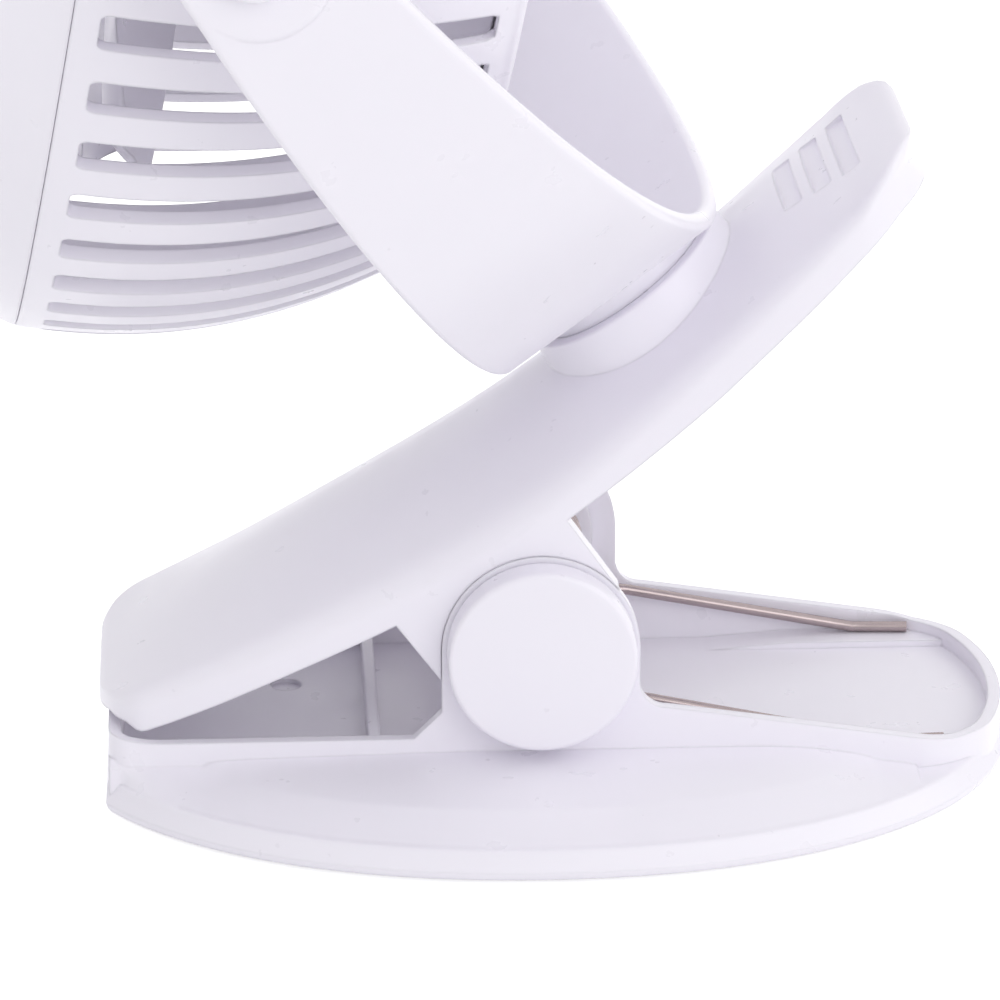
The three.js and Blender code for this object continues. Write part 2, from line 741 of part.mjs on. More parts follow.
/** Centre line of one spring: leg in the base, coil round the hinge, leg under the collar. */
function springPath(side) {
  const stepsPerTurn = 8;
  const coilStart = boxHalfWidth - boxWall - coilInset;
  const upperY = coilStart - coilPitch * (coilTurns + 0.5);
  const under = -collarDepth - collarDrop - clearance - wireRadius;
  const [bend, tip] = upperLegRun.map((u) => vec(u, upperY, under).applyMatrix4(swivelFrame));
  const reach = Math.hypot(bend.x, bend.z - hinge.z);
  const endTurn = Math.atan2(bend.z - hinge.z, bend.x) + Math.acos(coilRadius / reach);
  const startTurn = -Math.PI / 2;
  const sweep = coilTurns * 2 * Math.PI + startTurn + 2 * Math.PI - endTurn;
  const steps = Math.round(stepsPerTurn * sweep / (2 * Math.PI));
  const coil = range(steps + 1).map((i) => {
    const angle = startTurn - sweep * i / steps;
    const y = coilStart + (upperY - coilStart) * i / steps;
    return vec(coilRadius * Math.cos(angle), y, hinge.z + coilRadius * Math.sin(angle));
  });
  const channelMiddle = boxHalfWidth - (boxWall + channelRibInset - channelRibThickness / 2) / 2;
  const legEnd = vec(lowerLegEnd, channelMiddle, z0 + floorTop + wireRadius + lowerLegRise);
  const knee = coil[0].clone().add(vec(lowerLegKnee[0], 0, -lowerLegKnee[1]));
  const lower = range(4).map((i) => legEnd.clone().lerp(knee, i / 3));
  const last = coil[coil.length - 1];
  const upper = [0.3, 0.6, 0.94].map((share) => last.clone().lerp(bend, share));
  const along = tip.clone().sub(bend);
  upper.push(...[0.15, 0.5, 1].map((share) => bend.clone().addScaledVector(along, share)));
  return [...lower, ...coil, ...upper].map((p) => vec(p.x, side * p.y, p.z));
}

/** Least distance from the wire to itself, between stretches more than one turn apart. */
function leastWireGap(path) {
  let least = Infinity;
  const lengths = [0];
  for (let i = 1; i < path.length; i += 1) {
    lengths.push(lengths[i - 1] + path[i].distanceTo(path[i - 1]));
  }
  for (let i = 0; i < path.length; i += 1) {
    for (let j = i + 1; j < path.length; j += 1) {
      if (lengths[j] - lengths[i] > coilRadius * Math.PI) {
        least = Math.min(least, path[i].distanceTo(path[j]) - 2 * wireRadius);
      }
    }
  }
  return least;
}

/** Round wire of five sides along a path, closed at both ends. */
function wire(path, radius, sides = 5) {
  let side = vec(0, 1, 0);
  const loops = path.map((p, i) => {
    const before = path[Math.max(0, i - 1)];
    const after = path[Math.min(path.length - 1, i + 1)];
    const ahead = after.clone().sub(before).normalize();
    side = side.clone().addScaledVector(ahead, -side.dot(ahead)).normalize();
    const up = ahead.clone().cross(side);
    return range(sides).map((k) => {
      const angle = 2 * Math.PI * k / sides;
      return p.clone()
        .addScaledVector(side, radius * Math.cos(angle))
        .addScaledVector(up, radius * Math.sin(angle));
    });
  });
  const points = loops.flat().flatMap((p) => [p.x, p.y, p.z]);
  const faces = [];
  for (let i = 0; i + 1 < loops.length; i += 1) {
    for (let k = 0; k < sides; k += 1) {
      const a = i * sides + k;
      const b = i * sides + (k + 1) % sides;
      faces.push(a, b, b + sides, a, b + sides, a + sides);
    }
  }
  const tail = (loops.length - 1) * sides;
  for (let k = 1; k + 1 < sides; k += 1) {
    faces.push(0, k + 1, k);
    faces.push(tail, tail + k, tail + k + 1);
  }
  const geometry = new THREE.BufferGeometry();
  geometry.setAttribute('position', new THREE.Float32BufferAttribute(points, 3));
  geometry.setIndex(faces);
  return solid(geometry);
}

function hingePieces() {
  const group = new THREE.Group();
  const pinReach = boxHalfWidth + pinStand;
  group.add(mesh('hinge_pin', solid(crossRod(pinRadius, 0, hinge.z, -pinReach, pinReach, fine)), plainSteel));
  const sleeveReach = jawHalfWidth - earThickness - clearance;
  const sleeve = solid(crossRod(sleeveRadius, 0, hinge.z, -sleeveReach, sleeveReach, 32))
    .subtract(solid(crossRod(pinRadius + clearance, 0, hinge.z, -through, through, fine)));
  group.add(mesh('hinge_sleeve', sleeve, whiteAbs));
  group.add(hingeCap('hinge_cap_near', -1));
  group.add(hingeCap('hinge_cap_far', 1));
  [['near', -1], ['far', 1]].forEach(([place, side]) => {
    const path = springPath(side);
    console.log(`jaw_spring_${place} least gap to itself ${leastWireGap(path).toFixed(2)} mm`);
    group.add(mesh(`jaw_spring_${place}`, wire(path, wireRadius), springSteel));
  });
  return group;
}

// ---------------------------------------------------------------- yoke, in the swivel frame

function yokeBody() {
  const steps = 40;
  const half = (s) => yokeHalfWidth + (yokeHalfWidthTop - yokeHalfWidth) * s / yokeDepth;
  const loops = range(steps + 1).map((i) => {
    const angle = Math.PI * (i / steps - 0.5);
    const corner = (radial, side) => {
      const y = (yokeHalfSpan - radial) * Math.sin(angle);
      const s = yokeDepth - (yokeDepth - radial) * Math.cos(angle);
      return vec(side * half(s), y, s);
    };
    return [corner(0, -1), corner(0, 1), corner(yokeThickness, 1), corner(yokeThickness, -1)];
  });
  const band = loft(loops);
  const eyes = [-1, 1].map((side) => {
    const y = [side * yokeHalfSpan, side * (yokeHalfSpan - yokeThickness)].sort((a, b) => a - b);
    return solid(crossRod(yokeHalfWidthTop, 0, yokeDepth, ...y, 32));
  });
  const foot = solid(spun([
    [0, -footDepth], [footRadius, -footDepth], [footRadius, 0.4], [0, 0.4],
  ], 40));
  const stemEnd = -collarDepth - collarDrop - 0.1;
  const stem = solid(rod(stemRadius, stemEnd, 1, fine));
  const screwHole = solid(rod(screwRadius + clearance, stemEnd - 1, -2, 16));
  const pinHoles = solid(crossRod(tiltPinRadius + clearance, 0, yokeDepth, -through, through, fine));
  return cut(union([band, ...eyes, foot, stem]), [screwHole, pinHoles]);
}

function swivelPieces() {
  const group = new THREE.Group();
  const washerTop = -collarDepth - collarDrop - 0.1 - clearance;
  const washer = solid(rod(washerRadius, washerTop - washerThickness, washerTop, 32))
    .subtract(solid(rod(screwRadius + clearance, washerTop - 5, 5, 16)));
  group.add(mesh('swivel_washer', washer, plainSteel));
  const piece = screw('swivel_screw', swivelScrewLength, swivelScrewHead);
  piece.position.set(0, 0, washerTop - washerThickness - clearance);
  group.add(piece);
  return group;
}

// ---------------------------------------------------------------- head, in its own frame
// +Z is the front of the fan, +X its top, and the origin lies on the tilt pivots.

const back = (distance) => seamToPivot - distance; // distance behind the seam to local z

/** Outer radius of the rear shell at a distance behind the seam. */
function shellRadius(distance) {
  return seamRadius - (seamRadius - backRadius) * (distance / (shellDepth - backRound)) ** 2.2;
}

/** Solid ring in front of the slots. */
function shellCollar() {
  const near = back(clearance / 2);
  const far = back(slotStart);
  const outer = shellRadius(0);
  return spun([
    [outer - headWall, near], [outer, near], [shellRadius(slotStart), far],
    [shellRadius(slotStart) - headWall, far],
  ], slotCount);
}

/** Back plate behind the slots, with the pod for the battery and the motor's seat. */
function shellBack() {
  const edge = shellRadius(slotEnd);
  const podOuter = podRadius + podWall;
  const seat = back(shellDepth - coverThickness - clearance);
  return spun([
    [edge, back(slotEnd)],
    [backRadius, back(shellDepth - backRound)],
    [backRadius - 0.3 * backRound, back(shellDepth - 0.3 * backRound)],
    [backRadius - backRound, back(shellDepth)],
    [podOuter, back(shellDepth)],
    [podOuter, seat],
    [podRadius, seat],
    [podRadius, back(podFront + podWall)],
    [0, back(podFront + podWall)],
    [0, back(podFront)],
    [podOuter, back(podFront)],
    [podOuter, back(shellDepth - headWall)],
    [backRadius - headWall, back(shellDepth - headWall)],
    [edge - headWall, back(slotEnd)],
  ], slotCount);
}

/** One rib between two slots, at local angle zero (+X); its ends run into the rings. */
function shellRib() {
  const steps = 5;
  const half = Math.PI * (1 - slotShare) / slotCount;
  const from = slotStart - 1;
  const to = slotEnd + 0.9;
  const inset = 0.15;
  const loops = range(steps + 1).map((i) => {
    const distance = from + (to - from) * Math.sin(Math.PI / 2 * i / steps);
    const outer = shellRadius(distance) - inset;
    const inner = shellRadius(distance) - headWall + inset;
    const corners = [[inner, -half], [outer, -half], [outer, half], [inner, half]];
    return corners.map(([radius, angle]) =>
      vec(radius * Math.cos(angle), radius * Math.sin(angle), back(distance)));
  });
  return loft(loops);
}

function rearShell() {
  const rib = geometryOf(shellRib());
  const ribs = range(slotCount).map((i) => solid(moved(rib, turnZ(2 * Math.PI * i / slotCount))));
  const slotted = union([solid(shellCollar()), solid(shellBack()), wasm.Manifold.union(ribs)]);
  const bosses = [-1, 1].map((side) => {
    const root = shellRadius(seamToPivot) - tiltPinSeat - 1;
    const end = yokeHalfSpan - yokeThickness - clearance;
    const boss = spun([
      [0, root], [tiltBossRadius, root], [tiltBossRadius, end - tiltNeck],
      [tiltNeckRadius, end - tiltNeck], [tiltNeckRadius, end], [0, end],
    ], 28);
    boss.rotateX(-side * Math.PI / 2);
    return solid(boss);
  });
  const pinHoles = [-1, 1].map((side) => {
    const y = [side * (shellRadius(seamToPivot) - tiltPinSeat), side * through].sort((a, b) => a - b);
    return solid(crossRod(tiltPinRadius + clearance, 0, 0, ...y, fine));
  });
  return cut(union([slotted, ...bosses]), pinHoles);
}

function frontRing() {
  const near = back(-clearance / 2);
  const far = back(-ringDepth);
  const spigot = seamRadius - headWall - clearance;
  const spigotEnd = back(spigotLength);
  const mouth = seamRadius - ringTaper - ringLip;
  return solid(spun([
    [seamRadius, near],
    [seamRadius - ringTaper, far - ringEdge],
    [seamRadius - ringTaper - 0.3 * ringEdge, far - 0.3 * ringEdge],
    [seamRadius - ringTaper - ringEdge, far],
    [mouth, far],
    [mouth, far - ringStep],
    [spigot - ringStep, near],
    [spigot - ringStep, spigotEnd],
    [spigot, spigotEnd],
    [spigot, near],
  ], slotCount));
}

function frontGrille() {
  const outer = seamRadius - ringTaper - ringLip - clearance;
  const top = back(-ringDepth + grilleSeat);
  const low = top - grilleDepth;
  const annulus = (r0, r1, segments) => {
    const profile = [[r0, low], [r1, low], [r1, top], [r0, top]];
    return solid(spun(profile, segments));
  };
  const hub = solid(spun([
    [0, low], [grilleHub, low], [grilleHub, top - 2 * grilleSeat],
    [grilleHub - 3 * grilleSeat, top], [0, top + grilleSeat],
  ], grilleBars / 2));
  const bars = (from, to, count) => range(count).map((i) => solid(moved(
    box(from, to, -grilleBarWidth / 2, grilleBarWidth / 2, low + grilleSeat, top - grilleSeat),
    turnZ(2 * Math.PI * (i + 0.5) / count))));
  return union([
    hub, annulus(outer - grilleRing, outer, grilleBars),
    annulus(grilleMidRing - grilleMidRingWidth / 2, grilleMidRing + grilleMidRingWidth / 2, grilleBars),
    ...bars(grilleMidRing, outer - 1, grilleBars),
    ...bars(grilleHub - 1, grilleMidRing, grilleBars / 2),
  ]);
}

// ---------------------------------------------------------------- impeller and drive

function impeller() {
  const front = back(hubFront);
  const rear = back(hubFront + hubDepth);
  const hub = solid(spun([
    [shaftRadius + clearance, rear + 1], [hubRadius - hubWall, rear + 1],
    [hubRadius - hubWall, rear], [hubRadius, rear],
    [hubRadius, front - hubRound], [hubRadius - hubRound, front], [0, front],
    [0, front - shaftSeat], [shaftRadius + clearance, front - shaftSeat],
  ], 25));
  const blade = () => {
    const radial = 4;
    const middle = back(hubFront + hubDepth / 2);
    const loops = range(radial + 1).map((i) => {
      const share = i / radial;
      const radius = hubRadius - 1 + (impellerRadius - hubRadius + 1) * share;
      const chord = bladeChord + bladeChordGain * Math.sin(Math.PI * (0.15 + 0.62 * share));
      const pitch = bladePitch * (1 - bladeUntwist * share);
      const lean = bladeSweep * share;
      const edge = (u, offset) => {
        const along = chord * u;
        const camber = bladeCamber * (1 - 4 * u * u);
        const tangent = along * Math.cos(pitch) - (camber + offset) * Math.sin(pitch) * 0.2;
        const axial = along * Math.sin(pitch) * bladeFlatten + (camber + offset);
        const angle = lean + tangent / radius;
        return vec(radius * Math.cos(angle), radius * Math.sin(angle), middle - 1 + axial);
      };
      const front = [-0.5, -0.25, 0, 0.25, 0.5];
      const behind = front.slice().reverse();
      return [...front.map((u) => edge(u, 0)), ...behind.map((u) => edge(u, -bladeThickness))];
    });
    return loft(loops);
  };
  const bladeGeometry = geometryOf(blade());
  const blades = range(bladeCount).map((i) => {
    const turn = turnZ(2 * Math.PI * i / bladeCount);
    return solid(moved(bladeGeometry, turn));
  });
  const bore = solid(rod(shaftRadius + clearance, rear - hubDepth, front - shaftSeat, 16));
  return union([hub, ...blades]).subtract(bore);
}

function headInside() {
  const group = new THREE.Group();
  const motorRear = back(podFront - clearance);
  const motorFront = back(hubFront + hubDepth + motorToHub);
  const can = solid(spun([
    [0, motorRear], [motorRadius, motorRear], [motorRadius, motorFront - 1], [motorRadius - 1, motorFront],
    [motorBoss[0], motorFront], [motorBoss[0], motorFront + motorBoss[1]], [0, motorFront + motorBoss[1]],
  ], 28)).subtract(solid(rod(
    shaftRadius + clearance, motorFront - shaftInMotor - clearance, motorFront + 2 * motorBoss[1], 16)));
  group.add(mesh('motor', can, motorSteel));
  const shaft = rod(shaftRadius, motorFront - shaftInMotor, back(hubFront + shaftSeat) - clearance, 16);
  group.add(mesh('motor_shaft', solid(shaft), plainSteel));
  const batteryFront = back(podFront + podWall + clearance);
  group.add(mesh('battery_pack', solid(box(
    -batteryHeight / 2, batteryHeight / 2, -batteryWidth / 2, batteryWidth / 2,
    batteryFront - batteryDepth, batteryFront,
  )), cellBlue));
  const boardFront = batteryFront - batteryDepth - clearance;
  const boardRear = boardFront - boardThickness;
  group.add(mesh('circuit_board', solid(box(
    -boardHeight / 2, boardHeight / 2, -boardWidth / 2, boardWidth / 2, boardRear, boardFront,
  )), boardGreen));
  const coverOuter = back(shellDepth);
  const coverInner = coverOuter + coverThickness;
  const buttonInner = coverInner - clearance - 0.1;
  const plungerEnd = buttonInner + buttonTravel + clearance;
  const switchRear = plungerEnd + switchPlunger[1];
  const switchBody = solid(box(
    buttonOffset - switchWidth / 2, buttonOffset + switchWidth / 2, -switchWidth / 2, switchWidth / 2,
    switchRear, boardRear - clearance,
  )).add(solid(moved(rod(switchPlunger[0], plungerEnd, switchRear + sunk, 16), shift(buttonOffset, 0, 0))));
  group.add(mesh('tact_switch', switchBody, blackPlastic));
  const socketX = -buttonOffset;
  const socketFront = boardRear - clearance;
  const socketRear = coverOuter + socketInset;
  const socketBlock = (grown, from, to) => solid(box(
    socketX - socketHeight / 2 - grown, socketX + socketHeight / 2 + grown,
    -socketWidth / 2 - grown, socketWidth / 2 + grown, from, to,
  ));
  const socketFloor = Math.min(socketFront - socketWall, socketRear + socketDepth);
  const socketShell = socketBlock(0, socketRear, socketFront)
    .subtract(socketBlock(-socketWall, socketRear - sunk, socketFloor));
  group.add(mesh('charging_socket', socketShell, socketSteel));
  const hole = (radius, x, y, to, segments) =>
    solid(moved(rod(radius, coverOuter - sunk, to, segments), shift(x, y, 0)));
  const plate = solid(rod(podRadius + podWall - clearance, coverOuter, coverInner, slotCount));
  const cover = cut(plate, [
    hole(buttonRadius + clearance, buttonOffset, 0, coverInner + sunk, fine),
    socketBlock(clearance, coverOuter - sunk, coverInner + sunk),
    hole(lampRadius + clearance, 0, 0, coverInner + sunk, 20),
    ...coverScrewPlaces.map(([x, y]) => hole(screwRadius + clearance, x, y, coverInner + sunk, 8)),
    ...coverScrewPlaces.map(([x, y]) =>
      hole(screwHeadRadius + clearance, x, y, coverOuter + screwHeadDepth, 12)),
  ]);
  group.add(mesh('back_cover', cover, whiteAbs));
  const button = solid(spun([
    [0, coverOuter - buttonStand], [buttonRadius - sunk, coverOuter - buttonStand],
    [buttonRadius, coverOuter - buttonStand + sunk], [buttonRadius, buttonInner], [0, buttonInner],
  ], fine));
  const buttonMesh = mesh('mode_button', button, whiteAbs);
  buttonMesh.position.set(buttonOffset, 0, 0);
  group.add(buttonMesh);
  const lamp = mesh('led_window', solid(rod(lampRadius, coverOuter + 0.1, coverInner, 20)), lampClear);
  group.add(lamp);
  coverScrewPlaces.forEach(([x, y], i) => {
    const piece = screw(`cover_screw_${i + 1}`, 4);
    piece.position.set(x, y, coverOuter + screwHeadDepth - 0.2);
    group.add(piece);
  });
  return group;
}

const coverScrewPlaces = [90, 210, 330].map((degrees) => {
  const angle = degrees * Math.PI / 180;
  const radius = podRadius - 4;
  return [radius * Math.cos(angle), radius * Math.sin(angle)];
});

function tiltPieces() {
  const group = new THREE.Group();
  [['near', -1], ['far', 1]].forEach(([name, side]) => {
    const inner = shellRadius(seamToPivot) - tiltPinSeat + clearance;
    const outer = yokeHalfSpan + tiltPinStand;
    const span = [side * inner, side * outer].sort((a, b) => a - b);
    group.add(mesh(`tilt_pin_${name}`, solid(crossRod(tiltPinRadius, 0, 0, ...span, fine)), plainSteel));
    const face = yokeHalfSpan + clearance;
    const seat = outer + clearance;
    const geometry = spun([
      [0, seat], [tiltPinRadius + clearance, seat], [tiltPinRadius + clearance, face],
      [tiltCapRadius, face], [tiltCapRadius, face + tiltCapStand - capEdge],
      [tiltCapRadius - capEdge, face + tiltCapStand], [0, face + tiltCapStand],
    ], 28);
    geometry.rotateX(side > 0 ? -Math.PI / 2 : Math.PI / 2);
    group.add(mesh(`tilt_cap_${name}`, solid(geometry), whiteAbs));
  });
  return group;
}

function head() {
  const group = new THREE.Group();
  group.add(mesh('rear_shell', rearShell(), whiteAbs));
  group.add(mesh('front_ring', frontRing(), whiteAbs));
  group.add(mesh('front_grille', frontGrille(), whiteAbs));
  group.add(mesh('impeller', impeller(), whiteAbs));
  group.add(headInside());
  group.add(tiltPieces());
  return group;
}

// ---------------------------------------------------------------- assembly

const fan = new THREE.Group();
fan.add(base());
fan.add(mesh('upper_jaw', upperJaw(), whiteAbs));
fan.add(hingePieces());

const swivel = new THREE.Group();
swivel.position.set(swivelX, 0, z0 + swivelZ);
swivel.rotation.y = -swivelTilt;
swivel.add(mesh('yoke', yokeBody(), whiteAbs));
swivel.add(swivelPieces());
fan.add(swivel);

const fanHead = head();
fanHead.position.set(0, 0, yokeDepth);
fanHead.rotation.y = -headTilt;
swivel.add(fanHead);

export default fan;
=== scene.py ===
"""Looks of a clip fan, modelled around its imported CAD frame.

The fan stands on an oval base with a sprung clip. X runs along the clip from the jaw tips to
the handle, Y across it along the hinge, and Z up. Shapes are worked out in millimetres, and
the helpers that add them to the scene turn them into metres.
"""

import math

import bpy
from bpy.props import FloatProperty, FloatVectorProperty, IntProperty, PointerProperty
from mathutils import Matrix, Vector


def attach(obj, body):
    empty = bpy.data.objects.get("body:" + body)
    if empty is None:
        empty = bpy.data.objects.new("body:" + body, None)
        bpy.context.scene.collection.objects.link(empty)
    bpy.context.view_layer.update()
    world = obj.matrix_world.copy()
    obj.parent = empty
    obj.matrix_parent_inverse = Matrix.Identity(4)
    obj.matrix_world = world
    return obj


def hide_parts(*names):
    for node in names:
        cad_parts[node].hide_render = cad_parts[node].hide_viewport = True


bl_info = {
    "name": "Clip Fan",
    "version": (1, 0, 0),
    "blender": (4, 5, 0),
    "location": "View3D > Sidebar > Clip Fan",
    "description": "Models a clip fan around its CAD frame and gives it its finishes",
    "category": "Object",
}

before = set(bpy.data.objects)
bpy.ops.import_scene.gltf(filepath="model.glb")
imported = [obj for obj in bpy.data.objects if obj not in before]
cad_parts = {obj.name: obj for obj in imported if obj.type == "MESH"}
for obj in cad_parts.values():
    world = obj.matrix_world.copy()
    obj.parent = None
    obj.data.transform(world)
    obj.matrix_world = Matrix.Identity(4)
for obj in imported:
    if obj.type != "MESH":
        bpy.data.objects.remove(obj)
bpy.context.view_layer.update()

MM = 0.001
CLEARANCE = 0.3  # between pieces that touch or turn in each other
FIT = 0.06  # the same gap where it shows as a line

# Heights above the table and the two turned frames of the yoke and the head
FOOT_RISE = 0.5
HINGE_Z = FOOT_RISE + 18.4
SWIVEL = Matrix.Translation((9.3, 0, FOOT_RISE + 58.1)) @ Matrix.Rotation(-math.radians(36.9), 4, "Y")
YOKE_DEPTH = 68.3
HEAD = SWIVEL @ Matrix.Translation((0, 0, YOKE_DEPTH)) @ Matrix.Rotation(-math.radians(42.8), 4, "Y")


# ------------------------------------------------------------------ sizes and colours


def length(name, text, default):
    """A size of the fan in metres, given here in millimetres."""
    return FloatProperty(
        name=name, description=text, default=default * MM, min=0, unit="LENGTH", subtype="DISTANCE"
    )


def colour(name, text, code):
    """A colour from its sRGB hex code."""
    return FloatVectorProperty(
        name=name, description=text, default=linear(code), size=4, min=0, max=1, subtype="COLOR"
    )


def linear(code):
    """The linear colour of an sRGB hex code."""
    shares = [int(code[i : i + 2], 16) / 255 for i in (1, 3, 5)]
    return tuple(c / 12.92 if c <= 0.04045 else ((c + 0.055) / 1.055) ** 2.4 for c in shares) + (1,)


class BaseSizes(bpy.types.PropertyGroup):
    half_length: length("Half length", "Half of the oval from tip to handle", 56)
    half_width: length("Half width", "Half of the oval across", 43.9)
    box_half_width: length("Box half width", "Half of the box that carries the hinge", 20.7)
    wall: length("Box wall", "Thickness of the walls of the box", 1.5)
    floor_top: length("Floor", "Floor of the box above the skirt's lower edge", 4)
    ear_radius: length("Ear radius", "Radius of the hinge ears", 11.3)
    cap_radius: length("Cap radius", "Radius of the hinge caps", 10.75)
    cap_stand: length("Cap stand", "How far a hinge cap stands out of its ear", 4.3)


class JawSizes(bpy.types.PropertyGroup):
    tip: length("Tip", "From the hinge to the tip of the jaw", 50.4)
    handle: length("Handle", "From the hinge to the end of the handle", 43.4)
    half_width: length("Half width", "Half of the jaw across", 20.7)
    wall: length("Wall", "Thickness of the jaw", 1.8)
    crown: length("Crown", "How much the middle of the jaw stands over its edges", 8.5)
    edge_round: length("Edge rounding", "Rounding between the top and the sides", 2.2)


class SpringSizes(bpy.types.PropertyGroup):
    wire_radius: length("Wire radius", "Radius of the spring wire", 0.65)
    coil_radius: length("Coil radius", "Radius of the coil to the middle of the wire", 6.4)
    pitch: length("Pitch", "From one turn of the coil to the next", 1.85)
    turns: IntProperty(name="Turns", description="Whole turns of the coil", default=3, min=1)


class YokeSizes(bpy.types.PropertyGroup):
    half_span: length("Half span", "From the middle to the outer face of an arm", 74.4)
    thickness: length("Thickness", "Thickness of the band", 2.3)
    half_width: length("Half width", "Half of the band at its foot", 14.6)
    half_width_top: length("Half width at the pivots", "Half of the band at its ends", 8.3)


class HeadSizes(bpy.types.PropertyGroup):
    seam_radius: length("Seam radius", "Radius of the head where ring and shell meet", 62)
    back_radius: length("Back radius", "Radius of the flat back", 44.9)
    shell_depth: length("Shell depth", "From the seam to the flat back", 47)
    ring_depth: length("Ring depth", "Depth of the front ring", 9.6)
    slots: IntProperty(name="Slots", description="Air slots round the shell", default=50, min=8)


class FinishColours(bpy.types.PropertyGroup):
    abs_white: colour("White ABS", "Moulded white plastic of the housing", "#F4F1FA")
    rubber: colour("Rubber", "Foot pad", "#B4B6BA")
    wire: colour("Spring wire", "Bright spring steel", "#B3A5A6")
    zinc: colour("Zinc", "Zinc-plated pins and screws", "#A6A9AD")
    board: colour("Board", "Solder mask of the circuit board", "#1F6B3D")
    cell: colour("Cell wrap", "Shrink film round the battery", "#3D5F8F")


class StageSettings(bpy.types.PropertyGroup):
    floor: colour("Floor", "Colour of the floor", "#F4F4F5")
    key_power: FloatProperty(name="Key light", description="Power of the key light", default=3.3, min=0)
    fill_power: FloatProperty(name="Fill light", description="Power of the fill light", default=0.05, min=0)
    top_power: FloatProperty(
        name="Top light", description="Power of the light from the handle side", default=1.9, min=0
    )
    sky: FloatProperty(name="Sky", description="Strength of the even light", default=0.8, min=0)


def mm(size):
    """A scene size, which is in metres, in millimetres."""
    return size / MM


# ------------------------------------------------------------------ shaping


def alone(piece):
    """Leaves only this piece selected and active."""
    bpy.ops.object.select_all(action="DESELECT")
    piece.select_set(True)
    bpy.context.view_layer.objects.active = piece


def fresh(name):
    """Names the primitive that was just added."""
    piece = bpy.context.object
    piece.name = piece.data.name = name
    return piece


def lay(piece, points, place=None):
    """Lays the primitive's vertices on these points, in millimetres, through a frame."""
    for vertex, point in zip(piece.data.vertices, points):
        spot = Vector(point)
        vertex.co = (place @ spot if place else spot) * MM


def close_up(piece):
    """Merges the seam and the poles, fills the ends and turns the faces outwards."""
    alone(piece)
    bpy.ops.object.mode_set(mode="EDIT")
    bpy.ops.mesh.select_mode(type="VERT")
    bpy.ops.mesh.select_all(action="SELECT")
    bpy.ops.mesh.remove_doubles(threshold=2e-6)
    bpy.ops.mesh.delete_loose()
    bpy.ops.mesh.select_all(action="DESELECT")
    bpy.ops.mesh.select_non_manifold()
    bpy.ops.mesh.fill_holes(sides=0)
    bpy.ops.mesh.select_all(action="SELECT")
    bpy.ops.mesh.normals_make_consistent(inside=False)
    bpy.ops.object.mode_set(mode="OBJECT")
    return piece


def lofted(name, loops, place=None):
    """A grid wrapped round equal loops of points, closed at both ends."""
    around, along = len(loops[0]), len(loops)
    bpy.ops.object.select_all(action="DESELECT")
    bpy.ops.mesh.primitive_grid_add(x_subdivisions=around, y_subdivisions=along - 1, size=1)
    piece = fresh(name)
    spots = []
    for vertex in piece.data.vertices:
        i = round((vertex.co.x + 0.5) * around) % around
        j = round((vertex.co.y + 0.5) * (along - 1))
        spots.append(loops[j][i])
    lay(piece, spots, place)
    return close_up(piece)


def turned(name, profile, place=None, steps=96):
    """A profile of radius and height, spun round the local Z axis."""
    bpy.ops.object.select_all(action="DESELECT")
    bpy.ops.mesh.primitive_circle_add(vertices=len(profile))
    piece = fresh(name)
    lay(piece, [(radius, 0, height) for radius, height in profile])
    alone(piece)
    bpy.ops.object.mode_set(mode="EDIT")
    bpy.ops.mesh.select_all(action="SELECT")
    bpy.ops.mesh.spin(steps=steps, angle=2 * math.pi, center=(0, 0, 0), axis=(0, 0, 1))
    bpy.ops.object.mode_set(mode="OBJECT")
    if place:
        lay(piece, [vertex.co / MM for vertex in piece.data.vertices], place)
    return close_up(piece)


def extruded(name, outline, low, high, place):
    """An outline extruded from low to high: place(u, v, w) gives the point in millimetres."""
    bpy.ops.object.select_all(action="DESELECT")
    bpy.ops.mesh.primitive_circle_add(vertices=len(outline), fill_type="NGON")
    piece = fresh(name)
    lay(piece, [place(u, v, low) for u, v in outline])
    alone(piece)
    bpy.ops.object.mode_set(mode="EDIT")
    bpy.ops.mesh.select_all(action="SELECT")
    offset = (Vector(place(0, 0, high)) - Vector(place(0, 0, low))) * MM
    bpy.ops.mesh.extrude_region_move(TRANSFORM_OT_translate={"value": offset})
    bpy.ops.object.mode_set(mode="OBJECT")
    return close_up(piece)


def upright(u, v, w):
    return (u, v, w)


def sideways(u, v, w):
    return (u, w, v)


def block(name, low, high, place=None, rounding=0):
    """A box between two corners, its edges bevelled."""
    bpy.ops.object.select_all(action="DESELECT")
    bpy.ops.mesh.primitive_cube_add(size=1)
    piece = fresh(name)
    middle = (Vector(low) + Vector(high)) / 2
    spread = Vector(high) - Vector(low)
    lay(piece, [middle + vertex.co * spread for vertex in piece.data.vertices], place)
    if rounding:
        bevel(piece, rounding)
    return piece


def bevel(piece, width, segments=4, angle=40):
    """Rounds the piece's sharp edges."""
    alone(piece)
    tool = piece.modifiers.new("rounding", "BEVEL")
    tool.width = width * MM
    tool.segments = segments
    tool.angle_limit = math.radians(angle)
    bpy.ops.object.modifier_apply(modifier=tool.name)


def combine(piece, others, operation):
    """Joins the others to the piece or cuts them out of it, one by one."""
    for other in others:
        alone(piece)
        tool = piece.modifiers.new("combine", "BOOLEAN")
        tool.solver = "MANIFOLD"
        tool.operation = operation
        tool.object = other
        bpy.ops.object.modifier_apply(modifier=tool.name)
        bpy.data.objects.remove(other)
    return piece


def joined(piece, *others):
    return combine(piece, others, "UNION")


def cut(piece, *others):
    return combine(piece, others, "DIFFERENCE")


def rod(name, radius, low, high, place=None, steps=48):
    return turned(name, [(0, low), (radius, low), (radius, high), (0, high)], place, steps)


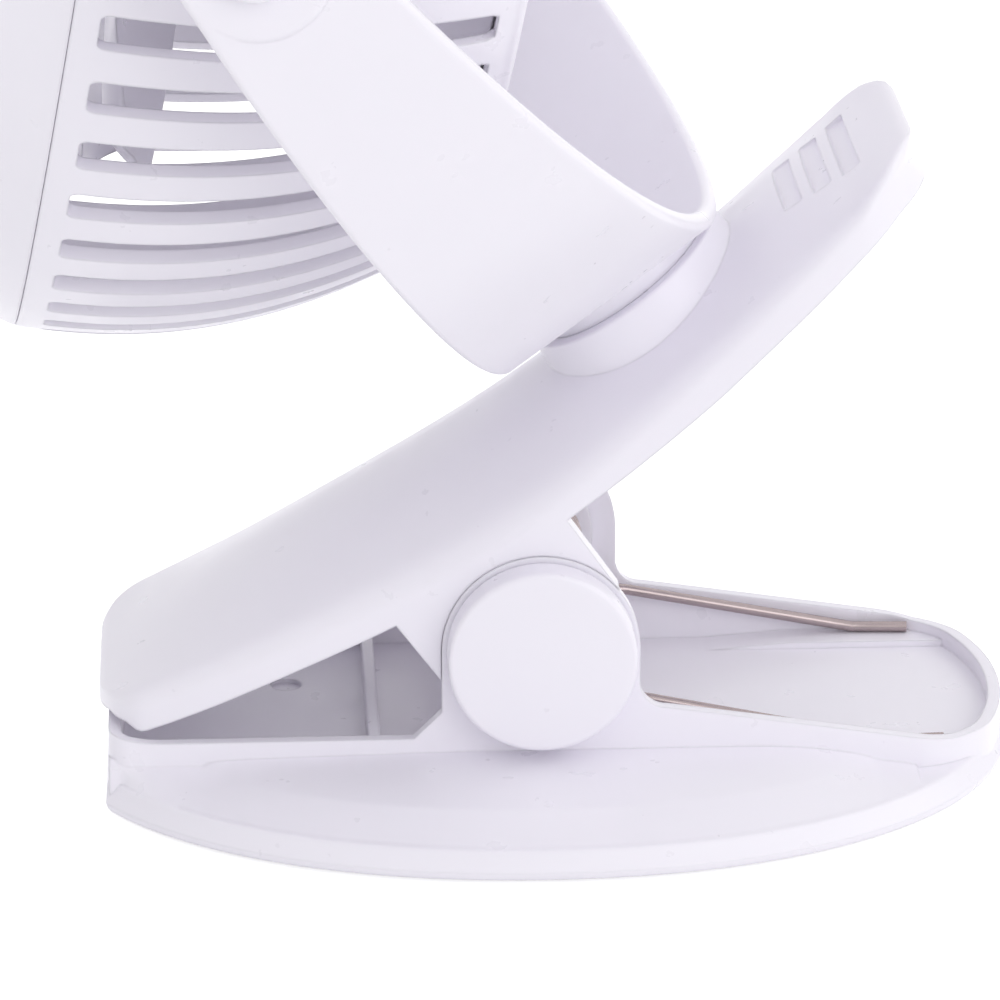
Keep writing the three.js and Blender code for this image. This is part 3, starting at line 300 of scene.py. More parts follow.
def cross_rod(name, radius, centre, low, high, steps=64):
    """A rod along Y through x and z of its centre."""
    place = Matrix.Translation((centre[0], 0, centre[1])) @ Matrix.Rotation(-math.pi / 2, 4, "X")
    return rod(name, radius, low, high, place, steps)


def arc(centre_u, centre_v, radius, start, end, steps):
    """Points on an arc, angles in degrees."""
    angles = [math.radians(start + (end - start) * i / steps) for i in range(steps + 1)]
    return [(centre_u + radius * math.cos(a), centre_v + radius * math.sin(a)) for a in angles]


def copied_round(tool, count, phase):
    """Copies of a tool all round the Z axis, joined; the phase is in steps from the X axis."""
    copies = []
    for i in range(count):
        copy = tool.copy()
        copy.data = tool.data.copy()
        copy.data.transform(Matrix.Rotation(2 * math.pi * (i + phase) / count, 4, "Z"))
        bpy.context.scene.collection.objects.link(copy)
        copies.append(copy)
    bpy.data.objects.remove(tool)
    alone(copies[0])
    for copy in copies:
        copy.select_set(True)
    bpy.ops.object.join()
    return bpy.context.object


def finish(piece, body, material, replaced=(), angle=34):
    """Smooths the piece, gives it its material and ties it to its CAD body."""
    alone(piece)
    bpy.ops.object.shade_smooth_by_angle(angle=math.radians(angle), keep_sharp_edges=False)
    weight = piece.modifiers.new("weight", "WEIGHTED_NORMAL")
    weight.keep_sharp = True
    bpy.ops.object.modifier_apply(modifier=weight.name)
    piece.data.materials.clear()
    piece.data.materials.append(material)
    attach(piece, body)
    if replaced:
        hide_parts(*replaced)
    return piece


# ------------------------------------------------------------------ materials


def add(tree, kind, inputs=None, **settings):
    """Adds one node with its settings; an input takes a value or another node's output."""
    made = tree.nodes.new(kind)
    for key, value in settings.items():
        setattr(made, key, value)
    for key, value in (inputs or {}).items():
        if isinstance(value, bpy.types.NodeSocket):
            tree.links.new(value, made.inputs[key])
        else:
            made.inputs[key].default_value = value
    return made


def started(name):
    """A new material with its Principled shader, its tree and the object's own coordinates."""
    material = bpy.data.materials.new(name)
    material.use_nodes = True
    tree = material.node_tree
    shader = tree.nodes["Principled BSDF"]
    place = add(tree, "ShaderNodeTexCoord").outputs["Object"]
    return material, tree, shader, place


def per(size):
    """Noise scale for features of this size in millimetres."""
    return 1 / (size * MM)


def noise(tree, place, size, detail=2.0, rough=0.5):
    values = {"Vector": place, "Scale": per(size), "Detail": detail, "Roughness": rough}
    return add(tree, "ShaderNodeTexNoise", values).outputs["Fac"]


def spread(tree, value, low, high):
    """Maps the middle of a noise to a range."""
    values = {"Value": value, "From Min": 0.3, "From Max": 0.7, "To Min": low, "To Max": high}
    return add(tree, "ShaderNodeMapRange", values).outputs["Result"]


def tinted(tree, share, first, second):
    """One colour blended into another by a share."""
    mix = add(tree, "ShaderNodeMix", {"Factor": share}, data_type="RGBA")
    mix.inputs[6].default_value = first
    mix.inputs[7].default_value = second
    return mix.outputs[2]


def shaded(code, change):
    """A colour made a little lighter or darker."""
    return tuple(min(1, c * change) for c in code[:3]) + (1,)


def relief(tree, height, depth, strength, under=None):
    """A bump of a given depth in millimetres."""
    values = {"Height": height, "Distance": depth * MM, "Strength": strength}
    if under:
        values["Normal"] = under
    return add(tree, "ShaderNodeBump", values).outputs["Normal"]


def eased(tree, radius):
    """Normals that round every edge off by a small radius, as a mould does."""
    return add(tree, "ShaderNodeBevel", {"Radius": radius * MM}, samples=6).outputs["Normal"]


def moulded_abs(colours):
    """Injection-moulded white ABS from a polished tool: a soft satin gloss with a faint lilac
    cast, very slight unevenness from the flow of the melt, and a few specks of dust."""
    material, tree, shader, place = started("moulded_white_ABS")
    flow = noise(tree, place, 30, 3)
    body = tinted(tree, spread(tree, flow, 0, 1), shaded(colours.abs_white, 0.985), colours.abs_white)
    dust = add(tree, "ShaderNodeTexVoronoi", {"Vector": place, "Scale": per(20)}).outputs["Distance"]
    speck = add(
        tree, "ShaderNodeMapRange",
        {"Value": dust, "From Min": 0.004, "From Max": 0.008, "To Min": 0.3, "To Max": 0},
    ).outputs["Result"]
    dusted = add(tree, "ShaderNodeMix", {"Factor": speck, 6: body}, data_type="RGBA")
    dusted.inputs[7].default_value = linear("#6E6A66")
    tree.links.new(dusted.outputs[2], shader.inputs["Base Color"])
    sheen = spread(tree, noise(tree, place, 4, 4), 0.27, 0.36)
    tree.links.new(sheen, shader.inputs["Roughness"])
    grain = noise(tree, place, 0.7, 2)
    ripple = noise(tree, place, 14, 1)
    skin = relief(tree, ripple, 0.25, 0.12, eased(tree, 0.45))
    tree.links.new(relief(tree, grain, 0.01, 0.25, skin), shader.inputs["Normal"])
    shader.inputs["IOR"].default_value = 1.53
    shader.inputs["Subsurface Weight"].default_value = 0.12
    shader.inputs["Subsurface Radius"].default_value = (1.0, 0.9, 0.95)
    shader.inputs["Subsurface Scale"].default_value = 1.2 * MM
    return material


def moulded_rubber(colours):
    """Moulded grey rubber: matt, with a fine even grain."""
    material, tree, shader, place = started("moulded_grey_rubber")
    cloud = spread(tree, noise(tree, place, 12, 3), 0, 1)
    body = tinted(tree, cloud, shaded(colours.rubber, 0.93), colours.rubber)
    tree.links.new(body, shader.inputs["Base Color"])
    tree.links.new(spread(tree, noise(tree, place, 2), 0.72, 0.86), shader.inputs["Roughness"])
    tree.links.new(relief(tree, noise(tree, place, 0.6, 2), 0.03, 0.5), shader.inputs["Normal"])
    shader.inputs["IOR"].default_value = 1.5
    return material


def drawn_wire(colours):
    """Drawn spring steel, nickel bright: fine lines from the die run along the wire."""
    material, tree, shader, place = started("drawn_spring_steel")
    shader.inputs["Metallic"].default_value = 1
    stretched = add(tree, "ShaderNodeMapping", {"Vector": place, "Scale": (0.12, 1.4, 1)})
    lines = noise(tree, stretched.outputs["Vector"], 0.35, 3)
    body = tinted(tree, spread(tree, lines, 0, 1), shaded(colours.wire, 0.94), colours.wire)
    tree.links.new(body, shader.inputs["Base Color"])
    tree.links.new(spread(tree, lines, 0.22, 0.28), shader.inputs["Roughness"])
    tree.links.new(relief(tree, lines, 0.002, 0.15), shader.inputs["Normal"])
    return material


def plated_steel(name, code, low, high):
    """Zinc-plated or drawn steel: a dull metal with slightly cloudy gloss."""
    material, tree, shader, place = started(name)
    shader.inputs["Metallic"].default_value = 1
    cloud = noise(tree, place, 2.5, 4)
    body = tinted(tree, spread(tree, cloud, 0, 1), shaded(code, 0.86), code)
    tree.links.new(body, shader.inputs["Base Color"])
    tree.links.new(spread(tree, cloud, low, high), shader.inputs["Roughness"])
    tree.links.new(relief(tree, noise(tree, place, 0.5), 0.01, 0.3), shader.inputs["Normal"])
    return material


def dyed_plastic(name, code, low, high, ior=1.53):
    """Moulded or coated plastic in one colour, a little cloudy."""
    material, tree, shader, place = started(name)
    cloud = noise(tree, place, 5, 3)
    body = tinted(tree, spread(tree, cloud, 0, 1), shaded(code, 0.88), code)
    tree.links.new(body, shader.inputs["Base Color"])
    tree.links.new(spread(tree, cloud, low, high), shader.inputs["Roughness"])
    tree.links.new(relief(tree, noise(tree, place, 0.6), 0.02, 0.3), shader.inputs["Normal"])
    shader.inputs["IOR"].default_value = ior
    return material


def finishes():
    """Every finish of the fan, made once, by the record's slot."""
    ready = bpy.data.materials
    if "moulded_white_ABS" not in ready:
        colours = bpy.context.scene.fan_colours
        moulded_abs(colours)
        moulded_rubber(colours)
        drawn_wire(colours)
        plated_steel("zinc_plated_steel", tuple(colours.zinc), 0.32, 0.46)
        plated_steel("drawn_motor_steel", linear("#8D9095"), 0.28, 0.4)
        plated_steel("nickel_plated_steel", linear("#C9CBCE"), 0.22, 0.32)
        dyed_plastic("solder_mask", tuple(colours.board), 0.35, 0.5)
        dyed_plastic("shrink_film", tuple(colours.cell), 0.25, 0.4)
        dyed_plastic("moulded_black_plastic", linear("#222326"), 0.4, 0.55)
        dyed_plastic("clear_acrylic", linear("#E8F2F6"), 0.08, 0.14, 1.49)
    return {
        "white_abs": ready["moulded_white_ABS"],
        "grey_rubber": ready["moulded_grey_rubber"],
        "spring_steel": ready["drawn_spring_steel"],
        "plain_steel": ready["zinc_plated_steel"],
        "motor_steel": ready["drawn_motor_steel"],
        "socket_steel": ready["nickel_plated_steel"],
        "board": ready["solder_mask"],
        "cell_wrap": ready["shrink_film"],
        "black_plastic": ready["moulded_black_plastic"],
        "clear_plastic": ready["clear_acrylic"],
    }


# ------------------------------------------------------------------ base

FULLNESS = 2.1  # 2 is an ellipse, more is squarer
TIP_END = 49.7  # the oval is cut square here
END_INSET = 0.8
CORNER = 2.5
SKIRT_HEIGHT = 3.1
SKIRT_DRAFT = 1.3
DECK_HEIGHT = 6.2  # at the box, over the level stretch
DECK_LEVEL = (-10, 24)
DECK_TIP_FALL, DECK_TIP_RUN = 0.45, 30
DECK_HANDLE_FALL, DECK_HANDLE_RUN = 2.8, 20
DECK_STEP_OUT = 0.2  # the deck covers the foot of the box walls by this much
CREASE_SHARE = 0.68  # the crescent crease, as its share of the rise of the deck
CREASE_INSET = 9
HANDLE_CORNERS = (6, 7)  # of the box, along and across
RIM_HEIGHT = 7.8
RIM_ROUND = 0.45
LIP_HEIGHT = 9.2
LIP_RUN = 6.5
RIM_AT_EAR = 11.1
RIM_AT_END = 6.1
RIM_LEVEL_RUN = 8.4
LEDGE_INSET, LEDGE_HEIGHT = 5.9, 0.8  # the spring legs lie on low ledges beside the walls
LEDGE_START, LEDGE_LEVEL = 18, 32  # where a ledge leaves the floor, and where it is level
EAR_FILLET = 3.2
PIN_RADIUS = 2
CAP_EDGE, CAP_DOME = 0.6, 0.12  # rounding and dome of a hinge cap


def oval_half(base, x, inset=0):
    share = min(1, abs(x) / (mm(base.half_length) - inset))
    return (mm(base.half_width) - inset) * (1 - share**FULLNESS) ** (1 / FULLNESS)


def box_plan(base, inset):
    """Plan of the box: square at the tip with round corners, following the oval at the handle."""
    half = mm(base.box_half_width) - inset
    left = -TIP_END + END_INSET / 2 + inset
    radius = max(0.6, CORNER - inset)
    offset = END_INSET + inset
    along, across = (size - inset for size in HANDLE_CORNERS)
    end = []
    for i in range(61):
        y = half * math.sin(math.pi * (i / 60 - 0.5))
        share = abs(y) / (mm(base.half_width) - offset)
        reach = (mm(base.half_length) - offset) * (1 - share**FULLNESS) ** (1 / FULLNESS)
        corner = max(0, 1 - (half - abs(y)) / across)
        end.append((reach - along * (1 - math.sqrt(1 - corner * corner)), y))
    tip = arc(left + radius, half - radius, radius, 90, 180, 10)
    tip += arc(left + radius, radius - half, radius, 180, 270, 10)
    return end + tip


def wall_side(base):
    """Side view of the box walls with the hinge ears."""
    ear = mm(base.ear_radius)
    tip = -TIP_END - 1
    end = mm(base.half_length) + 1
    rim = FOOT_RISE + RIM_HEIGHT
    low = FOOT_RISE + RIM_AT_EAR
    lip = [
        (-TIP_END + LIP_RUN * (1 - i / 12), rim + (LIP_HEIGHT - RIM_HEIGHT) * (i / 12) ** 2)
        for i in range(13)
    ]
    return [
        (tip, FOOT_RISE),
        (end, FOOT_RISE),
        (end, FOOT_RISE + RIM_AT_END),
        (mm(base.half_length) - RIM_LEVEL_RUN, FOOT_RISE + RIM_AT_END),
        *arc(ear + EAR_FILLET, low + EAR_FILLET, EAR_FILLET, -90, -180, 12),
        *arc(0, HINGE_Z, ear, 0, 180, 72),
        (-ear, rim + EAR_FILLET),
        (-ear - EAR_FILLET, rim),
        *lip,
        (tip, FOOT_RISE + LIP_HEIGHT),
    ]


def skirt_body(base):
    """Skirt: plans of the oval one above the other, cut square at the tip end."""
    edge = SKIRT_HEIGHT
    layers = [
        (0.5, 1.3, 0), (0.2, 0.6, 0.12), (0.04, 0.2, 0.45), (0, 0, 1), (SKIRT_DRAFT - 0.1, 0.15, edge - 0.7),
        (SKIRT_DRAFT + 0.05, 0.25, edge - 0.35), (SKIRT_DRAFT + 0.3, 0.4, edge - 0.1),
        (SKIRT_DRAFT + 0.65, 0.6, edge),
    ]
    loops = []
    for inset, tip_inset, height in layers:
        left, right = -TIP_END + tip_inset, mm(base.half_length) - inset
        stations = [left + (right - left) * math.sin(math.pi / 2 * i / 80) for i in range(81)]
        half = [(x, max(0.02, oval_half(base, x, inset))) for x in stations]
        plan = half + [(x, -y) for x, y in reversed(half)]
        loops.append([(x, y, FOOT_RISE + height) for x, y in plan])
    return lofted("base_body", loops)


def deck_top(x):
    """Height of the deck at the box, above the lower edge of the skirt."""
    to_tip = min(1, max(0, DECK_LEVEL[0] - x) / DECK_TIP_RUN)
    to_handle = max(0, x - DECK_LEVEL[1]) / DECK_HANDLE_RUN
    return max(SKIRT_HEIGHT, DECK_HEIGHT - DECK_TIP_FALL * to_tip - DECK_HANDLE_FALL * to_handle**2)


def deck_half(base, x):
    """Half section of the deck at x, from the skirt's upper edge inwards."""
    outside = mm(base.box_half_width) + DECK_STEP_OUT
    top = max(outside, oval_half(base, x, SKIRT_DRAFT + 0.6))
    crease = max(outside, oval_half(base, x, CREASE_INSET))
    rise = deck_top(x) - SKIRT_HEIGHT
    edge = FOOT_RISE + SKIRT_HEIGHT
    soft = min(0.9, (top - crease) / 3)
    inner = mm(base.box_half_width) - mm(base.wall) / 2
    slope = CREASE_SHARE * rise / max(0.5, top - crease)
    return [
        (top, edge - 1.5),
        (top, edge - 0.02),
        (top - soft, edge + 0.85 * soft * slope),
        (crease + soft, edge + CREASE_SHARE * rise - soft * slope),
        (crease, edge + CREASE_SHARE * rise - 0.06 * soft),
        (inner, edge + rise),
    ]


def mirrored(half):
    return half + [(-y, z) for y, z in reversed(half)]


def base_hollow(base, stations):
    """The hollow under the deck and the floor, open below."""
    under = FOOT_RISE + mm(base.floor_top) - 1.4
    loops = []
    for x in stations:
        room = max(mm(base.box_half_width) - mm(base.wall) / 2, oval_half(base, x, SKIRT_DRAFT)) - 1.6
        crease = max(mm(base.box_half_width) - mm(base.wall), oval_half(base, x, CREASE_INSET) - 1.6)
        section = [(room, FOOT_RISE - 1), (room, FOOT_RISE + 1.5), (min(room, crease), under)]
        loops.append([(x, y, z) for y, z in mirrored(section)])
    return lofted("hollow", loops)


def leg_ledge(base, side):
    """Low ledge along the wall, rising out of the floor; the end of a spring leg lies on it."""
    floor = FOOT_RISE + mm(base.floor_top)
    end = mm(base.half_length)
    top = floor + LEDGE_HEIGHT
    outline = [
        (LEDGE_START, floor - 0.5), (end, floor - 0.5), (end, top), (LEDGE_LEVEL, top),
        (LEDGE_START, floor - 0.3),
    ]
    half = mm(base.box_half_width)
    ledge = extruded("ledge", outline, *sorted((side * (half - LEDGE_INSET), side * half)), sideways)
    room = extruded("room", box_plan(base, mm(base.wall) / 2), 0, top + 2, upright)
    return combine(ledge, [room], "INTERSECT")


def base_body(base):
    """Oval deck and skirt with the tray, its rims and the hinge ears, all one moulding."""
    half = mm(base.box_half_width)
    wall = mm(base.wall)
    floor = FOOT_RISE + mm(base.floor_top)
    first, last = -TIP_END + END_INSET / 2, box_plan(base, 0)[0][0]
    stations = [(first + last) / 2 - (last - first) / 2 * math.cos(math.pi * i / 90) for i in range(91)]
    deck = lofted("deck", [[(x, y, z) for y, z in mirrored(deck_half(base, x))] for x in stations])
    walls = extruded("walls", box_plan(base, 0), FOOT_RISE, HINGE_Z + 14, upright)
    side = extruded("side", wall_side(base), -half - 1, half + 1, sideways)
    combine(walls, [side], "INTERSECT")
    tray = extruded("tray", box_plan(base, wall), floor, floor + 60, upright)
    cut(walls, tray)
    bevel(walls, RIM_ROUND, 4, 50)
    pin_hole = cross_rod("pin_hole", PIN_RADIUS + CLEARANCE, (0, HINGE_Z), -60, 60)
    rib = block("rib", (-19.6, -half + 0.75, floor - 0.5), (-18.2, half - 0.75, floor + 3.4), None, 0.3)
    ledges = [leg_ledge(base, side) for side in (-1, 1)]
    mark = rod("mark", 1.8, -0.5, 2, Matrix.Translation((-28.7, 6.4, floor)))
    body = joined(skirt_body(base), deck)
    tray_again = extruded("tray", box_plan(base, wall), floor, floor + 60, upright)
    cut(body, base_hollow(base, [x for x in stations if -TIP_END + 3.2 < x < last]), tray_again)
    joined(body, walls, rib, *ledges)
    return cut(body, pin_hole, mark)


def hinge_cap(base, name, side):
    """Round cap over the end of the hinge pin, its face slightly domed."""
    radius = mm(base.cap_radius)
    face = mm(base.box_half_width) + CLEARANCE
    top = mm(base.box_half_width) + mm(base.cap_stand)
    rim = top - CAP_DOME
    dome = [
        ((radius - CAP_EDGE) * (1 - i / 6), rim + CAP_DOME * math.sin(i / 6 * math.pi / 2))
        for i in range(1, 7)
    ]
    profile = [
        (0, face + 2), (PIN_RADIUS + CLEARANCE, face + 2), (PIN_RADIUS + CLEARANCE, face),
        (radius - 0.2, face), (radius, face + 0.2),
        *arc(radius - CAP_EDGE, rim - CAP_EDGE, CAP_EDGE, 0, 90, 8), *dome,
    ]
    place = Matrix.Translation((0, 0, HINGE_Z)) @ Matrix.Rotation(-side * math.pi / 2, 4, "X")
    return turned(name, profile, place, 128)


def spring_line(base, spring, side):
    """Centre line of a spring: leg in the tray, coil round the hinge, leg under the jaw."""
    radius, wire = mm(spring.coil_radius), mm(spring.wire_radius)
    start_y = 16
    upper_y = start_y - mm(spring.pitch) * (spring.turns + 0.5)
    under = -10.4 - CLEARANCE - wire
    bend, tip = (SWIVEL @ Vector((u, upper_y, under)) for u in (-3, 6.5))
    away = math.hypot(bend.x, bend.z - HINGE_Z)
    end_turn = math.atan2(bend.z - HINGE_Z, bend.x) + math.acos(radius / away)
    sweep = spring.turns * 2 * math.pi + 1.5 * math.pi - end_turn
    steps = round(48 * sweep / (2 * math.pi))
    coil = []
    for i in range(steps + 1):
        angle = -math.pi / 2 - sweep * i / steps
        y = start_y + (upper_y - start_y) * i / steps
        coil.append(Vector((radius * math.cos(angle), y, HINGE_Z + radius * math.sin(angle))))
    rest = FOOT_RISE + mm(base.floor_top) + LEDGE_HEIGHT + wire + 0.04
    beside = mm(base.box_half_width) - mm(base.wall) - wire - 0.35
    leg_end = Vector((46.6, beside - 0.5, rest))
    touch = Vector((40, beside - 0.1, rest))
    knee = Vector((12.4, beside - 0.6, coil[0].z - 0.95))
    lower = [leg_end.lerp(touch, i / 3) for i in range(3)]
    lower += [touch.lerp(knee, i / 10) for i in range(10)]
    lower += [knee.lerp(coil[0], i / 8) + Vector((0, 0, 0.5 * (1 - i / 8) * i / 8)) for i in range(8)]
    upper = [coil[-1].lerp(bend, i / 10) for i in range(1, 10)]
    turn = [bend.lerp(tip, 0.02 + 0.98 * i / 6) for i in range(7)]
    return [Vector((p.x, side * p.y, p.z)) for p in lower + coil + upper + turn]


def wire_piece(name, line, radius):
    """A round wire along a line of points, made a closed mesh."""
    bpy.ops.object.select_all(action="DESELECT")
    curve = bpy.data.curves.new(name, "CURVE")
    curve.dimensions = "3D"
    curve.bevel_depth = radius * MM
    curve.bevel_resolution = 4
    curve.use_fill_caps = True
    spline = curve.splines.new("POLY")
    spline.points.add(len(line) - 1)
    for point, spot in zip(spline.points, line):
        point.co = (*(spot * MM), 1)
    piece = bpy.data.objects.new(name, curve)
    bpy.context.scene.collection.objects.link(piece)
    alone(piece)
    bpy.ops.object.convert(target="MESH")
    return close_up(bpy.context.object)


# ------------------------------------------------------------------ upper jaw

CREST = 46.5  # height of the straight crest line over the hinge
SLOPE = 0.7
SAG, SAG_CENTRE, SAG_REACH = 1.8, -2, 32
CROWN_CENTRE, CROWN_TIP, CROWN_HANDLE = -3, 46, 43
FLANGE, FLANGE_GAIN, GAIN_FROM, GAIN_RUN = 4.5, 1.4, 4, 16
TIP_TAPER_START, TIP_TAPER, TIP_DROP = -26, 2.3, 0.3
HANDLE_TAPER_START, HANDLE_TAPER, HANDLE_LEAN = 26, 2.8, 1.1
TIP_CORNER, HANDLE_CORNER = (5.5, 9.5), (8, 10)
TIP_NOSE = (2.6, 2.8)  # rounding under the tip, along and up
NEST_START, NEST_RUN, NEST_DEPTH = 2.2, 1.8, 0.8  # behind the lip the flange reaches lower
EAR_ROOM = 11.3  # radius of the base's ear, which the jaw leaves free


def tip_share(jaw, x):
    return max(0, (TIP_TAPER_START - x) / (TIP_TAPER_START + mm(jaw.tip)))


def crest(jaw, x):
    share = min(1, abs(x - SAG_CENTRE) / SAG_REACH)
    sag = SAG * math.cos(share * math.pi / 2) ** 2
    return FOOT_RISE + CREST + SLOPE * x - sag - TIP_DROP * tip_share(jaw, x) ** 2


def crown(jaw, x):
    reach = CROWN_TIP if x < CROWN_CENTRE else CROWN_HANDLE
    share = min(1, abs(x - CROWN_CENTRE) / reach)
    return mm(jaw.crown) * (1 - share * share)


def jaw_half(jaw, x, inset):
    """Half width in plan, with elliptic corners at both ends."""
    def corner(room, size):
        share = max(0, 1 - max(0, room) / size[0])
        return size[1] * (1 - math.sqrt(1 - share * share))

    past = max(0, x - HANDLE_TAPER_START) / (mm(jaw.handle) - HANDLE_TAPER_START)
    side = mm(jaw.half_width) - HANDLE_TAPER * past**2 - TIP_TAPER * tip_share(jaw, x) ** 2 - inset
    tip_room = x + mm(jaw.tip) - inset
    handle_room = mm(jaw.handle) - inset - x
    return side - corner(tip_room, TIP_CORNER) - corner(handle_room, HANDLE_CORNER)


def flange_low(jaw, x):
    gain = min(1, max(0, (x - GAIN_FROM) / GAIN_RUN))
    low = crest(jaw, x) - crown(jaw, x) - FLANGE - FLANGE_GAIN * gain
    behind = min(1, max(0, (x + TIP_END - NEST_START) / NEST_RUN))
    nest = NEST_DEPTH * behind * behind * (3 - 2 * behind)
    corner = min(1, max(0, 1 - (x + mm(jaw.tip)) / TIP_NOSE[0]))
    nose = TIP_NOSE[1] * (1 - math.sqrt(1 - corner * corner))
    return max(low, FOOT_RISE + LIP_HEIGHT + CLEARANCE + 0.1 - nest) + nose


def jaw_block(jaw, name, inset, drop):
    """Filled jaw with crowned top and straight sides."""
    first, last = -mm(jaw.tip) + inset, mm(jaw.handle) - inset
    ease = [1 - math.cos(math.pi / 2 * i / 14) for i in range(14)]
    tip_x = [first + TIP_CORNER[0] * e for e in ease]
    handle_x = [last - HANDLE_CORNER[0] * e for e in reversed(ease)]
    start, stop = first + TIP_CORNER[0], last - HANDLE_CORNER[0]
    middle_x = [start + (stop - start) * i / 44 for i in range(45)]
    loops = []
    for x in tip_x + middle_x + handle_x:
        near_end = max(0, 1 - (last - x) / HANDLE_CORNER[0])
        near_tip = max(0, 1 - (x - first) / TIP_CORNER[0])
        rounding = max(0.5, mm(jaw.edge_round) + near_end - 1.1 * near_tip - inset)
        half = jaw_half(jaw, x, inset)
        steps = [0, 0.06, 0.16, 0.3, 0.48, 0.7, 1, 1.35]
        inner = half - 1.35 * rounding
        left = [half - rounding * s for s in steps] + [inner * s for s in (0.8, 0.6, 0.4, 0.2)]
        low = flange_low(jaw, x) - drop
        lean = HANDLE_LEAN * near_end
        top = []
        for y in left + [0] + [-y for y in reversed(left)]:
            thickness = inset * math.hypot(1, SLOPE)
            roof = crest(jaw, x) - crown(jaw, x) * (y / mm(jaw.half_width)) ** 2 - thickness
            to_end = min(x - first, last - x) + 0.6
            past = max(0, rounding - max(0, min(half - abs(y), to_end)))
            z = roof - rounding + math.sqrt(rounding**2 - past**2)
            top.append((x - lean, y, z))
        low = min(low, top[0][2] - 0.5)
        loops.append([(x + lean / 2, half, low), *top, (x + lean / 2, -half, low)])
    return lofted(name, loops)


def jaw_ear(jaw, side):
    """Ear of the jaw, with a round tongue inside the base's ear."""
    outline = [
        (-17, flange_low(jaw, -17) + 1), (-11, FOOT_RISE + 14.4), (0, HINGE_Z), (8.9, FOOT_RISE + 25.5),
        (2.9, flange_low(jaw, 2.9)), (2.9, flange_low(jaw, 2.9) + 2),
    ]
    span = sorted((side * mm(jaw.half_width), side * (mm(jaw.half_width) - 3.3)))
    ear = extruded("ear", outline, *span, sideways)
    return joined(ear, cross_rod("tongue", 8.4, (0, HINGE_Z), *span))


def ear_relief(jaw, side):
    """Room in the side of the jaw for the base's ear."""
    span = sorted((side * (mm(jaw.half_width) - 1.5 - CLEARANCE), side * (mm(jaw.half_width) + 1)))
    reach = EAR_ROOM + FIT
    round_room = cross_rod("relief", reach, (0, HINGE_Z), *span, 144)
    return joined(round_room, block("relief_low", (-reach, span[0], 0), (reach, span[1], HINGE_Z)))


def grip_recess(jaw, number):
    """One of the three finger recesses across the handle."""
    x = 9.3 + (24.7 + 4 * number) * math.cos(math.radians(36.9))
    near, far = -(14.2 + 1.6 * number) / 2, (14.2 + 1.6 * number) / 2 + 2.8
    place = Matrix.Translation((x, 0, crest(jaw, x))) @ Matrix.Rotation(-math.atan(SLOPE), 4, "Y")
    return block("grip", (-1.2, near, -0.9), (1.2, far, 7), place, 0.3)


def jaw_body(jaw):
    """Upper jaw: crowned channel with ears, swivel collar and finger recesses."""
    body = cut(jaw_block(jaw, "jaw_body", 0, 0), jaw_block(jaw, "jaw_inside", mm(jaw.wall), 30))
    collar = turned(
        "collar",
        [(0, -10.4), (12.8, -10.4), (13.2, -6), (12.95, -3.2), *arc(12.45, -2.4, 0.4, 0, 90, 5), (0, -2)],
        SWIVEL, 128,
    )
    joined(body, jaw_ear(jaw, -1), jaw_ear(jaw, 1), collar)
    recess = rod("recess", 11.1 + 2 * FIT, -5.7, 5, SWIVEL, 128)
    bore = rod("bore", 4 + CLEARANCE, -30, 5, SWIVEL)
    pin_hole = cross_rod("pin_hole", PIN_RADIUS + CLEARANCE, (0, HINGE_Z), -60, 60)
    grips = [grip_recess(jaw, number) for number in range(3)]
    return cut(body, ear_relief(jaw, -1), ear_relief(jaw, 1), recess, bore, pin_hole, *grips)


# ------------------------------------------------------------------ yoke


def yoke_body(yoke):
    """U-shaped band with round eyes at the pivots, and its foot with a round neck."""
    span, thick = mm(yoke.half_span), mm(yoke.thickness)
    top, rounding = mm(yoke.half_width_top), 0.75
    outer, inner = rounding, thick - rounding
    section = []
    for side, radial, start in ((-1, outer, 180), (1, outer, 270), (1, inner, 0), (-1, inner, 90)):
        for step in range(5):
            angle = math.radians(start + 90 * step / 4)
            section.append((side, rounding * (math.cos(angle) - side), radial + rounding * math.sin(angle)))
    loops = []
    for i in range(145):
        angle = math.pi * (i / 144 - 0.5)
        loop = []
        for side, across, radial in section:
            y = (span - radial) * math.sin(angle)
            s = YOKE_DEPTH - (YOKE_DEPTH - radial) * math.cos(angle)
            half = mm(yoke.half_width) + (top - mm(yoke.half_width)) * s / YOKE_DEPTH
            loop.append((side * half + across, y, s))
        loops.append(loop)
    band = lofted("yoke_body", loops, SWIVEL)
    for side in (-1, 1):
        ends = sorted((side * span, side * (span - thick)))
        place = SWIVEL @ Matrix.Translation((0, 0, YOKE_DEPTH)) @ Matrix.Rotation(-math.pi / 2, 4, "X")
        ease = arc(top - rounding, ends[0] + rounding, rounding, -90, 0, 4)
        ease += arc(top - rounding, ends[1] - rounding, rounding, 0, 90, 4)
        joined(band, turned("eye", [(0, ends[0]), *ease, (0, ends[1])], place))
    foot = turned(
        "foot", [(0, -5.4), (10.6, -5.4), (11.1, -4.9), (11.1, 0.4), (0, 0.4)], SWIVEL, 128
    )
    stem = rod("stem", 4, -10.5, 1, SWIVEL)
    joined(band, foot, stem)
    place = SWIVEL @ Matrix.Translation((0, 0, YOKE_DEPTH)) @ Matrix.Rotation(-math.pi / 2, 4, "X")
    screw_hole = rod("screw_hole", 1.5, -12, -2, SWIVEL)
    return cut(band, screw_hole, rod("pin_holes", 2.7, -90, 90, place))


